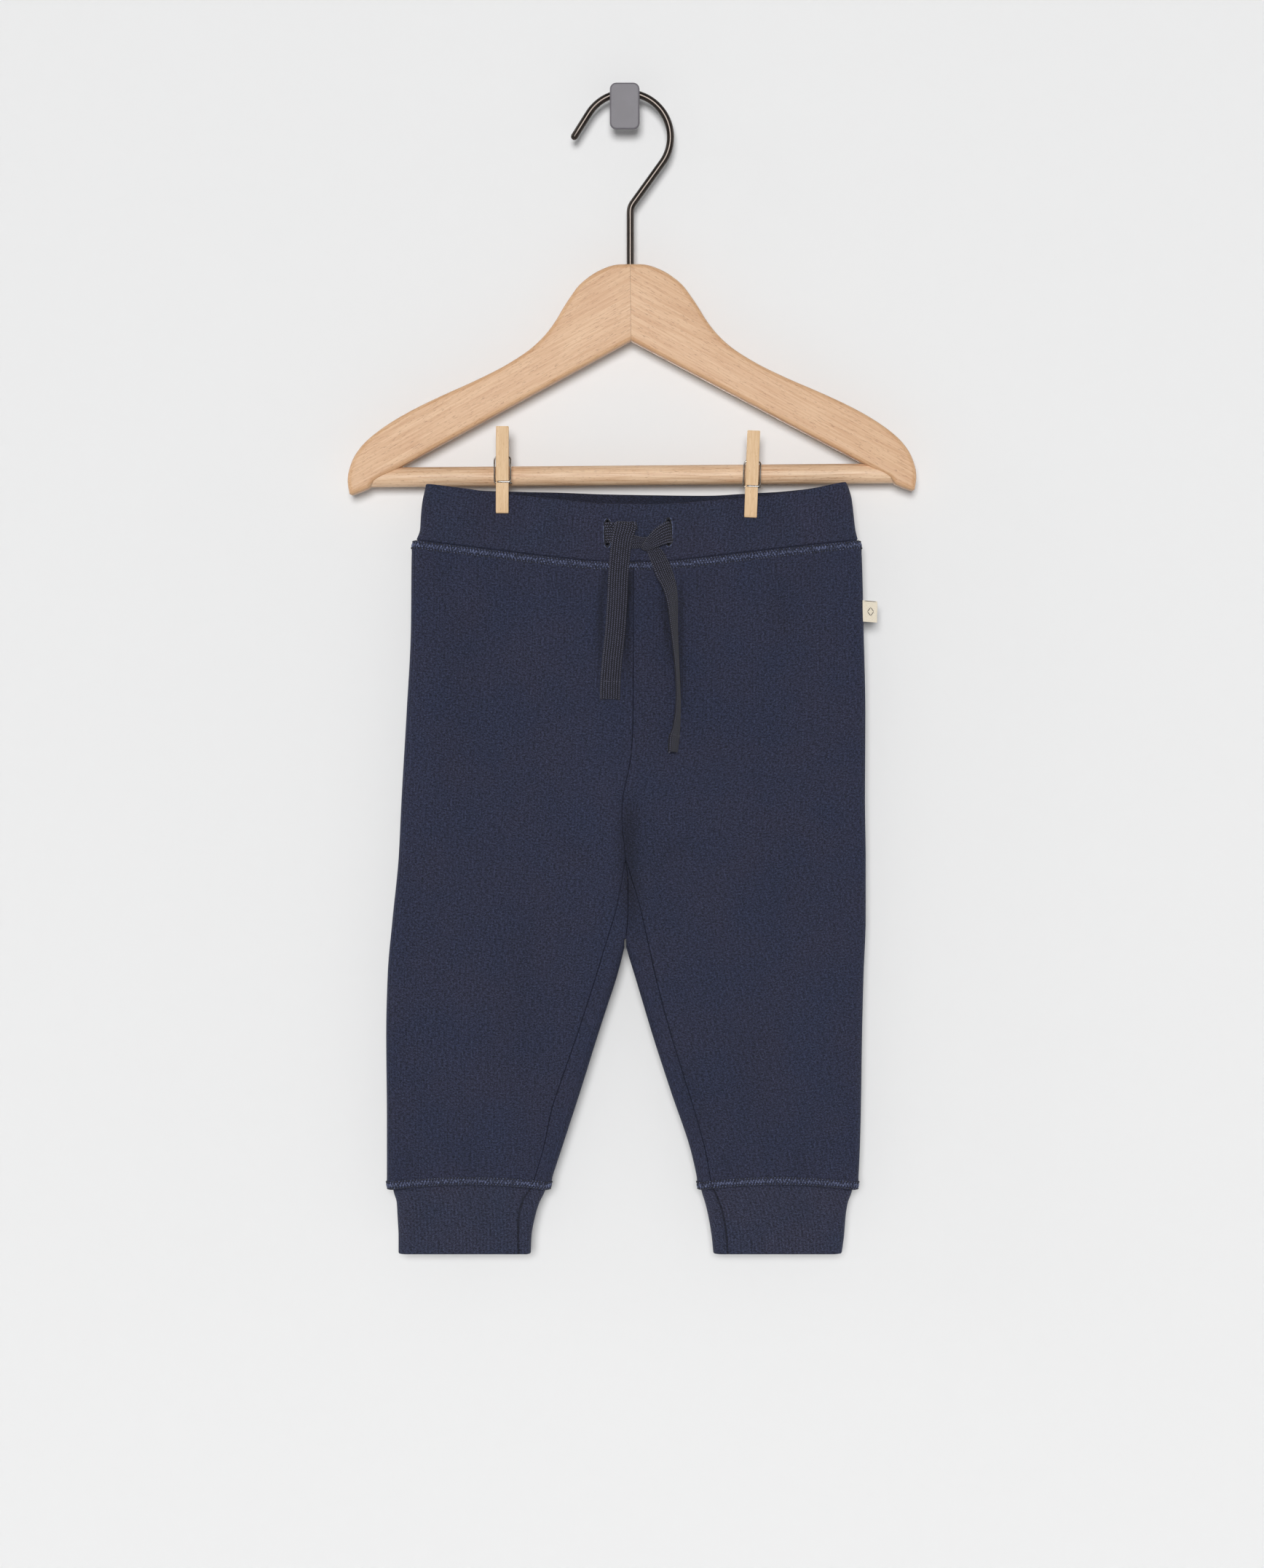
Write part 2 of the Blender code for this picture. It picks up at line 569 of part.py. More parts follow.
def back_y(x, z):
    return GARMENT_DEPTH + HALF_DEPTH - folds_at(BACK_FOLDS, x, z)


def body_height(x, level, column, leg_edges):
    """Rows of the body follow the waist seam at the top and the cuff's arched seam at the bottom."""
    droop = smooth(WAIST, column, waist_across(x)) - BODY_TOP
    near_waist = ease((level - (BODY_TOP - 110.0)) / 110.0)
    low, high = leg_edges
    across = min(max((x - low) / (high - low), 0.0), 1.0)
    near_cuff = ease((BODY_BOTTOM + 40.0 - level) / 40.0)
    return level + near_waist * droop + near_cuff * CUFF_ARCH * sin(pi * across)


def leg_edges(level, side):
    column = "left" if side < 0 else "right"
    outer = smooth(BODY_SIDES, column, level)
    inner = smooth(BODY_INNER, column, min(level, FORK))
    return sorted((outer, inner))


def body_levels():
    """Heights of the body's rows, as they are at the side folds."""
    saddle_top = FORK + SADDLE_RISE
    upper = list(np.linspace(BODY_TOP - WAIST_SEAM / 2, CROTCH, 11))
    middle = list(np.linspace(CROTCH, saddle_top, 4))[1:]
    lower = list(np.linspace(FORK - 8.0, BODY_BOTTOM + SEAM / 2, 10))
    return upper, middle, lower


def front_edge(level, side):
    """The front panel's inner edge: the centre seam, then the inseam below the crotch."""
    if level >= CROTCH:
        seam = smooth(CENTRE_FRONT, "across", level)
    else:
        seam = smooth(INSEAMS, "left" if side < 0 else "right", level)
    return seam + side * SEAM / 2


def fold_point(edge, side, angle, level):
    """A point on a fold whose edge is at x and which opens towards the garment's middle."""
    return (edge - side * HALF_DEPTH * (1.0 - cos(angle)), GARMENT_DEPTH - HALF_DEPTH * sin(angle), level)


def flat_row(xs, level, side, depth, column):
    edges = leg_edges(level, side)
    row = []
    for x in xs:
        z = body_height(x, level, column, edges)
        row.append((x, depth(x, z), z))
    return row


def front_panel(side):
    """Rows from the centre seam or inseam outwards, over the outer fold to the side seam."""
    rows = []
    upper, middle, lower = body_levels()
    for level in upper + middle + lower:
        outer = smooth(BODY_SIDES, "left" if side < 0 else "right", level)
        xs = np.linspace(front_edge(level, side), outer - side * HALF_DEPTH, 11)
        row = flat_row(xs, level, side, front_y, "front_seam")
        seam = SIDE_SEAM_ANGLE[side] + SIDE_SEAM / 2 / HALF_DEPTH
        for angle in list(np.linspace(pi / 2, seam + THIN_FACET, 3)[1:]) + [seam]:
            row.append(fold_point(outer, side, angle, level))
        rows.append(row)
    return [rows]


def back_panel(side):
    """The main rows run from the side seam round the outer fold and inwards over the back. A strip
    carries the panel up the front beside the inseam, and a fold round the inner leg joins the two
    below the saddle, where the centre seam passes under the fork."""
    column = "left" if side < 0 else "right"
    upper, middle, lower = body_levels()
    saddle_top = FORK + SADDLE_RISE
    main = []
    for level in upper + middle + lower:
        outer = smooth(BODY_SIDES, column, level)
        seam = SIDE_SEAM_ANGLE[side] - SIDE_SEAM / 2 / HALF_DEPTH
        angles = [seam] + list(np.linspace(seam - THIN_FACET, -pi / 2, 5)[:-1])
        row = [fold_point(outer, side, angle, level) for angle in angles]
        if level > FORK:
            inner = smooth(CENTRE_BACK, "across", level) + side * SEAM / 2
        else:
            inner = smooth(BODY_INNER, column, level) + side * HALF_DEPTH
        xs = np.linspace(outer - side * HALF_DEPTH, inner, 10)
        main.append(row + flat_row(xs, level, side, back_y, "back_seam"))

    strip = []
    for level in [CROTCH - STRIP_TIP] + middle + lower:
        seam = smooth(INSEAMS, column, level) - side * SEAM / 2
        if level > FORK:
            inner = smooth(CENTRE_FRONT, "across", level) + side * STRIP_SEAM / 2
        else:
            inner = smooth(BODY_INNER, column, level) + side * HALF_DEPTH
        strip.append(flat_row(np.linspace(inner, seam, 3), level, side, front_y, "front_seam"))

    angles = np.linspace(-pi / 2, pi / 2, 7)
    centre = smooth(CENTRE_BACK, "across", FORK) + side * SADDLE_SEAM / 2
    saddle = [(centre, GARMENT_DEPTH - HALF_DEPTH * sin(a), saddle_top - SADDLE_RISE * cos(a))
              for a in angles]
    back_end = main[len(upper) + len(middle) - 1][-1]
    front_end = strip[len(middle)][0]
    fold = [[back_end] + saddle[1:-1] + [front_end]]
    for level in lower:
        inner = smooth(BODY_INNER, column, level)
        row = [fold_point(inner, -side, angle, level) for angle in angles]
        edges = leg_edges(level, side)
        row[0] = flat_row([inner + side * HALF_DEPTH], level, side, back_y, "back_seam")[0]
        row[-1] = flat_row([inner + side * HALF_DEPTH], level, side, front_y, "front_seam")[0]
        fold.append(row)
    return [main, strip, fold]


def peg_pinch(x, z, band_height):
    """How much of the full half depth is pressed out at a place near a peg's jaws."""
    half_depth = HALF_DEPTH
    for peg in PEGS:
        below_coil = peg.coil_height - z
        centre = peg.x + below_coil * -sin(peg.tilt)
        jaw = PEG_HALF_GAP + below_coil * sin(PEG_OPENING) - SEAM
        held = ease(1.0 - (abs(x - centre) - PEG_WIDTH / 2 - 1.0) / 14.0) * ease(2.0 - 2.0 * band_height)
        half_depth = min(half_depth, jaw + (HALF_DEPTH - jaw) * (1.0 - held))
    return half_depth


def band_columns():
    """Places across the waistband, closer together beside the pegs."""
    beside = (-18.5, -11.0, -5.4, 3.4, 9.0, 16.5)
    places = [-96.0, -38.0, -20.0, 4.0, 24.0, 40.0, 104.0]
    for peg in PEGS:
        places += [peg.x + offset for offset in beside]
    return sorted(places)


def build_waistband(parts, cutters, rib):
    rows = []
    for part in np.linspace(0.0, 1.0, 5):
        level = WAIST[0].front_top * (1 - part) + (WAIST[0].front_seam + WAIST_SEAM / 2) * part
        left = smooth(BAND_SIDES, "left", level)
        right = smooth(BAND_SIDES, "right", level)
        xs = [left + HALF_DEPTH] + band_columns() + [right - HALF_DEPTH]

        def height(x, face):
            across = (x - left) / (right - left)
            top = smooth(WAIST, f"{face}_top", across)
            return top * (1 - part) + (smooth(WAIST, f"{face}_seam", across) + WAIST_SEAM / 2) * part

        row = []
        for x in xs:
            z = height(x, "front")
            row.append((x, GARMENT_DEPTH - peg_pinch(x, z, part), z))
        right_level = height(right, "front")
        for angle in np.linspace(pi / 2, -pi / 2, 7)[1:-1]:
            z = right_level + (height(right - HALF_DEPTH, "front") - right_level) * (1 - cos(angle))
            row.append(fold_point(right, 1, angle, z))
        for x in reversed(xs):
            z = height(x, "back")
            row.append((x, GARMENT_DEPTH + peg_pinch(x, z, part), z))
        left_level = height(left, "front")
        for angle in np.linspace(-pi / 2, pi / 2, 7)[1:-1]:
            z = left_level + (height(left + HALF_DEPTH, "front") - left_level) * (1 - cos(angle))
            row.append(fold_point(left, -1, angle, z))
        rows.append(row)
    band = cloth("waistband", [rows], BAND_WALL, rib, parts, closed=True)
    for hole in BUTTONHOLES:
        low = (hole.x - BUTTONHOLE_WIDTH / 2, GARMENT_DEPTH - 20.0, hole.middle - BUTTONHOLE_HEIGHT / 2)
        high = (hole.x + BUTTONHOLE_WIDTH / 2, GARMENT_DEPTH, hole.middle + BUTTONHOLE_HEIGHT / 2)
        cut(band, box_cutter(hole.name, low, high, cutters))


def build_cuff(name, side, parts, rib):
    column = "left" if side < 0 else "right"
    rows = []
    for part in (0.0, 0.12, 0.3, 0.6, 1.0):
        level = (BODY_BOTTOM - SEAM / 2) * (1 - part) + CUFF_HEM * part
        edges = sorted((smooth(CUFF_SIDES, column, level), smooth(CUFF_INNER, column, level)))
        xs = np.linspace(edges[0] + HALF_DEPTH, edges[1] - HALF_DEPTH, 8)

        def height(x):
            across = (x - edges[0]) / (edges[1] - edges[0])
            return level + CUFF_ARCH * sin(pi * across) * (1 - part) ** 2

        turn = np.linspace(pi / 2, -pi / 2, 7)[1:-1]
        row = [(x, GARMENT_DEPTH - HALF_DEPTH, height(x)) for x in xs]
        row += [fold_point(edges[1], 1, angle, height(edges[1])) for angle in turn]
        row += [(x, GARMENT_DEPTH + HALF_DEPTH, height(x)) for x in reversed(xs)]
        row += [fold_point(edges[0], -1, angle, height(edges[0])) for angle in turn[::-1]]
        rows.append(row)
    cloth(name, [rows], CUFF_WALL, rib, parts, closed=True)


def tape_rows(table, width):
    """The two edges of a flat tape, turned about its middle line and clear of the cloth."""
    spots = []
    for row in table:
        turn = radians(row.turn)
        stand_off = row.lift + TAPE_THICKNESS / 2 * cos(turn) + width / 2 * sin(turn)
        spots.append(Vector((row.x, front_y(row.x, row.height) - stand_off, row.height)))
    rows = []
    for i, row in enumerate(table):
        along = (spots[min(i + 1, len(spots) - 1)] - spots[max(i - 1, 0)]).normalized()
        level = along.cross(Vector((0.0, 1.0, 0.0))).normalized()
        across = Matrix.Rotation(radians(row.turn), 3, along) @ level
        rows.append([spots[i] - across * width / 2, spots[i] + across * width / 2])
    return rows


def build_drawstring(parts, tape):
    cloth("drawstring_left", [tape_rows(LEFT_TAPE, TAPE_WIDTH)], TAPE_THICKNESS, tape, parts, offset=0.0)
    cloth("drawstring_right", [tape_rows(RIGHT_TAPE, TAPE_WIDTH)], TAPE_THICKNESS, tape, parts, offset=0.0)
    cloth("drawstring_knot", [tape_rows(KNOT, KNOT_WIDTH)], TAPE_THICKNESS, tape, parts, offset=0.0)


def build_label(parts, woven):
    root = smooth(BODY_SIDES, "right", LABEL_MIDDLE) + SEAM
    depth = GARMENT_DEPTH - HALF_DEPTH * sin(SIDE_SEAM_ANGLE[1])
    half_loop = LABEL_LOOP / 2
    turn = arc((root + LABEL_REACH - half_loop, depth), half_loop, -pi / 2, pi / 2, 5)
    loop = [(root, depth - half_loop)] + turn + [(root, depth + half_loop)]
    rows = [[(x, y, LABEL_MIDDLE + end * LABEL_HEIGHT / 2) for x, y in loop] for end in (1, -1)]
    cloth("side_label", [rows], LABEL_WALL, woven, parts)


def main():
    for old in list(bpy.data.objects):
        bpy.data.objects.remove(old)
    parts = collection(BODY)
    cutters = collection("cutters")

    jersey = material("navy_sweat_jersey", (0.024, 0.032, 0.068), 0.9)
    rib = material("navy_rib", (0.023, 0.031, 0.066), 0.9)
    tape = material("navy_herringbone_tape", (0.034, 0.036, 0.05), 0.85)
    woven = material("cream_woven_label", (0.72, 0.64, 0.5), 0.8)
    beech = material("lacquered_beech", (0.7, 0.45, 0.26), 0.45)
    birch = material("plain_birch", (0.76, 0.52, 0.26), 0.6)
    steel = material("spring_steel", (0.5, 0.48, 0.45), 0.3, 1.0)
    gunmetal = material("gunmetal_wire", (0.05, 0.045, 0.042), 0.3, 1.0)
    zinc = material("satin_zinc", (0.25, 0.25, 0.26), 0.45, 1.0)

    build_wall_hook(parts, zinc)
    build_hanger(parts, cutters, beech, gunmetal)
    build_pegs(parts, birch, steel)
    build_waistband(parts, cutters, rib)
    for name, side in (("left", -1), ("right", 1)):
        cloth(f"front_{name}", front_panel(side), BODY_WALL, jersey, parts, flipped=side < 0)
        cloth(f"back_{name}", back_panel(side), BODY_WALL, jersey, parts, flipped=side < 0)
        build_cuff(f"cuff_{name}", side, parts, rib)
    build_drawstring(parts, tape)
    build_label(parts, woven)


main()
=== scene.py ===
"""Looks of a toddler's jogger sweatpants, held by two mini pegs on a beech hanger and hung on a wall hook.

Sizes are in millimetres and become metres as each mesh is made. +X is the viewer's right, +Y goes into
the wall and +Z is up. Left and right in the names are the viewer's, looking at the front.
"""
from math import atan2, cos, pi, radians, sin

import bmesh
import bpy
import numpy as np
from mathutils import Matrix, Vector
from mathutils.kdtree import KDTree


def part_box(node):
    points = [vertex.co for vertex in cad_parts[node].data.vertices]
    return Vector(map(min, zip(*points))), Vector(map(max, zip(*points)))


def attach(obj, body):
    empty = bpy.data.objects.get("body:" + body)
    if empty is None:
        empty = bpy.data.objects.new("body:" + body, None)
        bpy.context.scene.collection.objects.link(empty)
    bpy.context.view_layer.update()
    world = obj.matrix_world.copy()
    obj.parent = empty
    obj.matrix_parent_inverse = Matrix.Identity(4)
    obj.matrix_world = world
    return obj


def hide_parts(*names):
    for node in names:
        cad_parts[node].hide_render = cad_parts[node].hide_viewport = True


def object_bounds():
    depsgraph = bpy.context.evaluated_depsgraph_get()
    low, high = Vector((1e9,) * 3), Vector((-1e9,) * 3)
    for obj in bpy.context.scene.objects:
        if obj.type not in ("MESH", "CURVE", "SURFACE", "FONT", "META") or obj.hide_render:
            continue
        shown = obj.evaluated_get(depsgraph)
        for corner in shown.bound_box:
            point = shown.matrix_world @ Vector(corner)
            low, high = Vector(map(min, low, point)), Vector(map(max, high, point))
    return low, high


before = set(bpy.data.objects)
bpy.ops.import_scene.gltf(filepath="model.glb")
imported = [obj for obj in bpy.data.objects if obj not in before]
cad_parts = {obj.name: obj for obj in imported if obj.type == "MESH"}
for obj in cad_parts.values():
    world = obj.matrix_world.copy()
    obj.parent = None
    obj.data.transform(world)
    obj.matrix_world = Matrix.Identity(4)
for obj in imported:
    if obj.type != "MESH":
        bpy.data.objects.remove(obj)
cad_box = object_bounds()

MM = 0.001


# ---------------------------------------------------------------- The view
# Square to the wall, a little below the object's middle, and from far enough back that the cloth and
# the hanger behind it keep their true proportions.
VIEW_HEIGHT = 861.2
VIEW_DISTANCE = 2600.0
VIEW_DROP = 64.2
SENSOR = 36.0

object_middle = (cad_box[0] + cad_box[1]) / 2
cloth_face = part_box("front_right")[0].y
camera = bpy.data.objects.new("camera", bpy.data.cameras.new("camera"))
bpy.context.scene.collection.objects.link(camera)
camera.data.sensor_fit = "VERTICAL"
camera.data.sensor_height = SENSOR
camera.data.lens = SENSOR * VIEW_DISTANCE / VIEW_HEIGHT
camera.location = (object_middle.x, cloth_face - VIEW_DISTANCE * MM, object_middle.z - VIEW_DROP * MM)
camera.rotation_euler = (pi / 2, 0.0, 0.0)
bpy.context.scene.camera = camera


# ---------------------------------------------------------------- Wall hook
# A turned zinc stem with a flange against the wall, and a small rounded plate riveted on its end that
# keeps the hanger from sliding off. Both are powder coated in warm grey.
STEM_PROFILE = [(0.0, 0.0), (7.3, 0.0), (7.5, -0.2), (7.5, -1.5), (7.1, -1.9), (6.7, -2.0),
                (4.7, -2.0), (4.1, -2.2), (3.8, -2.8), (3.8, -18.3), (0.0, -18.3)]
PLATE_MIDDLE = (-0.7, -20.2, -1.9)
PLATE_SIZE = (16.4, 25.8)
PLATE_THICKNESS = 3.2
PLATE_CORNER = 3.6
PLATE_ROUNDING = 0.9


def linear(code):
    """An sRGB hex colour as the linear values that a shader holds."""
    parts = [int(code[i:i + 2], 16) / 255 for i in (1, 3, 5)]
    return tuple(c / 12.92 if c <= 0.04045 else ((c + 0.055) / 1.055) ** 2.4 for c in parts) + (1.0,)


def node(tree, kind, settings=None, inputs=None):
    """Add a node with its settings, and a value or a link for each named input."""
    made = tree.nodes.new(kind)
    for name, value in (settings or {}).items():
        setattr(made, name, value)
    for name, value in (inputs or {}).items():
        if isinstance(value, bpy.types.NodeSocket):
            tree.links.new(value, made.inputs[name])
        else:
            made.inputs[name].default_value = value
    return made


def new_material(name, **finish):
    """A material with its plain values set on the shader's own sockets."""
    made = bpy.data.materials.new(name)
    made.use_nodes = True
    shader = made.node_tree.nodes["Principled BSDF"]
    for socket, value in finish.items():
        shader.inputs[socket.replace("_", " ")].default_value = value
    return made, made.node_tree, shader


def scaled(tree, vector, scale):
    """The vector stretched by a scale for each axis."""
    return node(tree, "ShaderNodeMapping", inputs={"Vector": vector, "Scale": scale}).outputs["Vector"]


def noise(tree, vector, scale=1.0, detail=2.0, roughness=0.5, flat=False):
    """Soft noise, read in two dimensions where the vector is flat."""
    return node(tree, "ShaderNodeTexNoise", {"noise_dimensions": "2D" if flat else "3D"}, {
        "Vector": vector, "Scale": scale, "Detail": detail, "Roughness": roughness}).outputs["Fac"]


def ranged(tree, value, low=0.0, high=1.0, to_low=0.0, to_high=1.0):
    """A value taken from one range to another."""
    return node(tree, "ShaderNodeMapRange", inputs={
        "Value": value, "From Min": low, "From Max": high, "To Min": to_low,
        "To Max": to_high}).outputs["Result"]


def reckoned(tree, operation, *values):
    """The result of a sum on values or links."""
    return node(tree, "ShaderNodeMath", {"operation": operation},
                dict(enumerate(values))).outputs["Value"]


def blended(tree, share, under, over, how="MIX"):
    """A colour laid over another by a share. Colours are links or hex codes."""
    under, over = (linear(tone) if isinstance(tone, str) else tone for tone in (under, over))
    return node(tree, "ShaderNodeMix", {"data_type": "RGBA", "blend_type": how},
                {0: share, 6: under, 7: over}).outputs[2]


def surface(tree, shader, colour, height=None, strength=0.0, distance=0.0):
    """Give the shader its colour, and the fine relief that a height makes."""
    tree.links.new(colour, shader.inputs["Base Color"])
    if height is not None:
        bump = node(tree, "ShaderNodeBump", inputs={"Height": height, "Strength": strength,
                                                    "Distance": distance})
        tree.links.new(bump.outputs["Normal"], shader.inputs["Normal"])


def mesh_of(name, verts, faces, uvs=None, sharp=40.0):
    """A mesh in metres from points in millimetres, smooth except where it turns by more than sharp."""
    mesh = bpy.data.meshes.new(name)
    mesh.from_pydata([tuple(co) for co in np.asarray(verts) * MM], [], [tuple(f) for f in faces])
    if uvs is not None:
        layer = mesh.uv_layers.new(name="weave")
        layer.data.foreach_set("uv", np.asarray(uvs, np.float32).ravel() * MM)
    mesh.shade_smooth()
    mesh.set_sharp_from_angle(angle=radians(sharp))
    for polygon in mesh.polygons:
        polygon.use_smooth = len(polygon.vertices) <= 4
    return mesh


def show(name, mesh, material, slot, *stands_for):
    """Place a piece, let it ride on the object's one body, and hide the CAD nodes that it stands for."""
    piece = bpy.data.objects.new(name, mesh)
    bpy.context.scene.collection.objects.link(piece)
    mesh.materials.append(material)
    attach(piece, "root")
    if stands_for:
        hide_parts(*stands_for)
    return piece


def turned(profile, steps):
    """Turn a (radius, depth) profile about the line that runs straight out of the wall."""
    verts, faces = [], []
    for radius, depth in profile:
        for step in range(steps):
            angle = 2 * pi * step / steps
            verts.append((radius * cos(angle), depth, radius * sin(angle)))
    for ring in range(len(profile) - 1):
        for step in range(steps):
            after = (step + 1) % steps
            low, high = ring * steps, (ring + 1) * steps
            faces.append((low + step, low + after, high + after, high + step))
    return verts, faces


def arc(centre, radius, start, end, count):
    """Points on an arc as (across, up) pairs."""
    angles = np.linspace(start, end, count)
    return [(centre[0] + radius * cos(a), centre[1] + radius * sin(a)) for a in angles]


def rounded_slab(outline, thickness, rounding, layers=4):
    """A flat outline in X and Z, centred in depth, with quarter-round edges on both faces."""
    points = np.array(outline)
    before = points - np.roll(points, 1, axis=0)
    after = np.roll(points, -1, axis=0) - points
    before /= np.linalg.norm(before, axis=1)[:, None]
    after /= np.linalg.norm(after, axis=1)[:, None]
    along = before + after
    along /= np.linalg.norm(along, axis=1)[:, None]
    outward = np.stack([along[:, 1], -along[:, 0]], axis=1)
    stretch = 1 / np.maximum((before * along).sum(axis=1), 0.6)
    area = (points[:, 0] * np.roll(points[:, 1], -1) - np.roll(points[:, 0], -1) * points[:, 1]).sum()
    if area < 0:
        outward = -outward
    rings = []
    for face in (-1, 1):
        for layer in range(layers + 1):
            turn = (layer if face > 0 else layers - layer) / layers * pi / 2
            inset = rounding * (1 - cos(turn)) * stretch
            depth = face * (thickness / 2 - rounding + rounding * sin(turn))
            ring = points - outward * inset[:, None]
            rings.append([(x, depth, z) for x, z in ring])
    count = len(points)
    verts = [co for ring in rings for co in ring]
    faces = []
    for ring in range(len(rings) - 1):
        for i in range(count):
            j = (i + 1) % count
            quad = (ring * count + i, ring * count + j, (ring + 1) * count + j, (ring + 1) * count + i)
            faces.append(quad if area > 0 else quad[::-1])
    front = tuple(range(count))
    back = tuple(range((len(rings) - 1) * count, len(rings) * count))
    faces.append(front[::-1] if area > 0 else front)
    faces.append(back if area > 0 else back[::-1])
    return verts, faces


# Powder coat on zinc: an even warm grey skin whose fine orange peel keeps its gloss low.
powder_coat, tree, shader = new_material("powder_coated_zinc", Roughness=0.48, IOR=1.5)
here = node(tree, "ShaderNodeTexCoord").outputs["Object"]
tone = blended(tree, noise(tree, here, 90.0), "#646166", "#716d74")
surface(tree, shader, tone, noise(tree, here, 1400.0), 0.25, 0.0002)

stem = mesh_of("wall_hook_stem", *turned(STEM_PROFILE, 48))
show("hook_stem", stem, powder_coat, "wall_hook", "wall_hook_stem")
half = (PLATE_SIZE[0] / 2 - PLATE_CORNER, PLATE_SIZE[1] / 2 - PLATE_CORNER)
plate_outline = []
for quarter, (across, up) in enumerate([(1, 1), (-1, 1), (-1, -1), (1, -1)]):
    plate_outline += arc((across * half[0], up * half[1]), PLATE_CORNER, quarter * pi / 2,
                         (quarter + 1) * pi / 2, 9)
verts, faces = rounded_slab(plate_outline, PLATE_THICKNESS, PLATE_ROUNDING)
plate = mesh_of("wall_hook_plate", np.array(verts) + PLATE_MIDDLE, faces)
show("hook_plate", plate, powder_coat, "wall_hook", "wall_hook_plate")


# ---------------------------------------------------------------- Hanger
# Two beech arms cut from 12.6 mm board, glued in a mitre and rounded over, with a turned beech bar in
# blind sockets and a wire hook driven down into the joint. A thin satin lacquer covers the wood.
HANGER_DEPTH = -16.0
HANGER_THICKNESS = 12.6
HANGER_TOP = -89.0
HANGER_ROUNDING = 2.4
HANGER_TILT = radians(0.45)
SHAFT_X = 2.4
MITRE_GAP = 0.12
PAST_MITRE = 8.0
BAR_RADIUS = 5.5
TIP_MERGE = 6.5
BAR_BELOW_TOP = 116.3
BAR_REACH = 147.0
ARM_SLOPE = radians(29.0)
ARM_OUTER = [
    (0.0, 0.0), (7.5, 0.2), (13.5, 1.8), (20.5, 5.2), (28.0, 11.0), (32.8, 17.2), (37.2, 23.8),
    (41.0, 30.2), (45.6, 36.6), (51.4, 42.8), (58.6, 48.6), (71.0, 56.2), (87.4, 64.2), (105.6, 72.2),
    (122.2, 80.2), (135.8, 88.2), (146.6, 96.6), (153.0, 104.6), (156.2, 112.8), (156.9, 119.0),
    (156.0, 125.4),
]
ARM_INNER = [(154.6, 126.1), (149.6, 124.4), (145.0, 122.4), (142.3, 118.7), (0.0, 42.1)]
WIRE_RADIUS = 2.0
HOOK_RADIUS = 24.44
HOOK_CENTRE = (0.16, -18.36)
HOOK_LEAVE = radians(147.9)
HOOK_NECK = radians(-33.0)
HOOK_TIP = 15.0
HOOK_BEND = [(5.6, -52.6), (4.2, -54.5), (3.2, -56.2), (2.6, -57.9), (2.4, -59.8), (2.4, -64.0)]


def curve_through(points, between):
    """A smooth curve through points, with this many steps in each stretch."""
    spots = [Vector(point) for point in points]
    ends = [2 * spots[0] - spots[1]] + spots + [2 * spots[-1] - spots[-2]]
    found = []
    for i in range(1, len(ends) - 2):
        start, end = ends[i], ends[i + 1]
        leave, arrive = (end - ends[i - 1]) / 2, (ends[i + 2] - start) / 2
        for step in range(between):
            t = step / between
            found.append(start * (1 + 2 * t) * (1 - t) ** 2 + end * t * t * (3 - 2 * t)
                         + leave * t * (1 - t) ** 2 - arrive * t * t * (1 - t))
    return found + [spots[-1]]


def swept(points, radius, sides, closed=False, rounded_ends=True):
    """A round wire, rod or thread along a path, with domed ends."""
    points = [Vector(point) for point in points]
    radii = [radius] * len(points)
    if rounded_ends and not closed:
        first = (points[0] - points[1]).normalized()
        last = (points[-1] - points[-2]).normalized()
        head = [(0.3, 0.92), (0.6, 0.77), (0.85, 0.5), (0.97, 0.2)]
        points = ([points[0] + first * radius * out for out, _ in reversed(head)] + points
                  + [points[-1] + last * radius * out for out, _ in head])
        radii = ([radius * share for _, share in reversed(head)] + radii
                 + [radius * share for _, share in head])
    count = len(points)
    verts, faces = [], []
    side = None
    for i, point in enumerate(points):
        after = points[(i + 1) % count] if closed or i < count - 1 else point
        before = points[i - 1] if closed or i > 0 else point
        along = (after - before).normalized()
        if side is None:
            side = along.orthogonal().normalized()
        side = (side - along * side.dot(along)).normalized()
        other = along.cross(side)
        for step in range(sides):
            angle = 2 * pi * step / sides
            verts.append(point + (side * cos(angle) + other * sin(angle)) * radii[i])
    for i in range(count if closed else count - 1):
        here, there = i * sides, (i + 1) % count * sides
        for step in range(sides):
            after = (step + 1) % sides
            faces.append((here + step, here + after, there + after, there + step))
    if not closed:
        faces.append(tuple(range(sides))[::-1])
        faces.append(tuple(range((count - 1) * sides, count * sides)))
    return verts, faces


def beech_along(name, turn, dark_tone="#d0a47c", pale_tone="#e8c49e"):
    """Lacquered beech: pale pinkish wood with fine pores and the short dark ray flecks of the beech
    tree, all lying along the grain, under a satin lacquer that gives a soft sheen."""
    made, tree, shader = new_material(name, Roughness=0.55, IOR=1.45, Coat_Weight=0.12,
                                      Coat_Roughness=0.35)
    here = node(tree, "ShaderNodeTexCoord").outputs["Object"]
    lying = node(tree, "ShaderNodeMapping", inputs={"Vector": here, "Rotation": (0.0, turn, 0.0)})

    def streaks(length, width, detail=3.0):
        """Noise drawn out along the grain: length and width of its marks in millimetres."""
        scale = (1000 / length, 1000 / width, 1000 / width)
        return noise(tree, scaled(tree, lying.outputs["Vector"], scale), 1.0, detail, 0.55)

    pores = streaks(26.0, 0.9)
    tone = blended(tree, streaks(150.0, 9.0), dark_tone, pale_tone)
    lined = blended(tree, ranged(tree, pores, 0.38, 0.68, 0.0, 0.6), tone, "#c08c62")
    flecks = ranged(tree, streaks(3.0, 0.34, 1.0), 0.62, 0.72, 0.0, 0.55)
    surface(tree, shader, blended(tree, flecks, lined, "#8f5c38"), pores, 0.12, 0.0003)
    return made


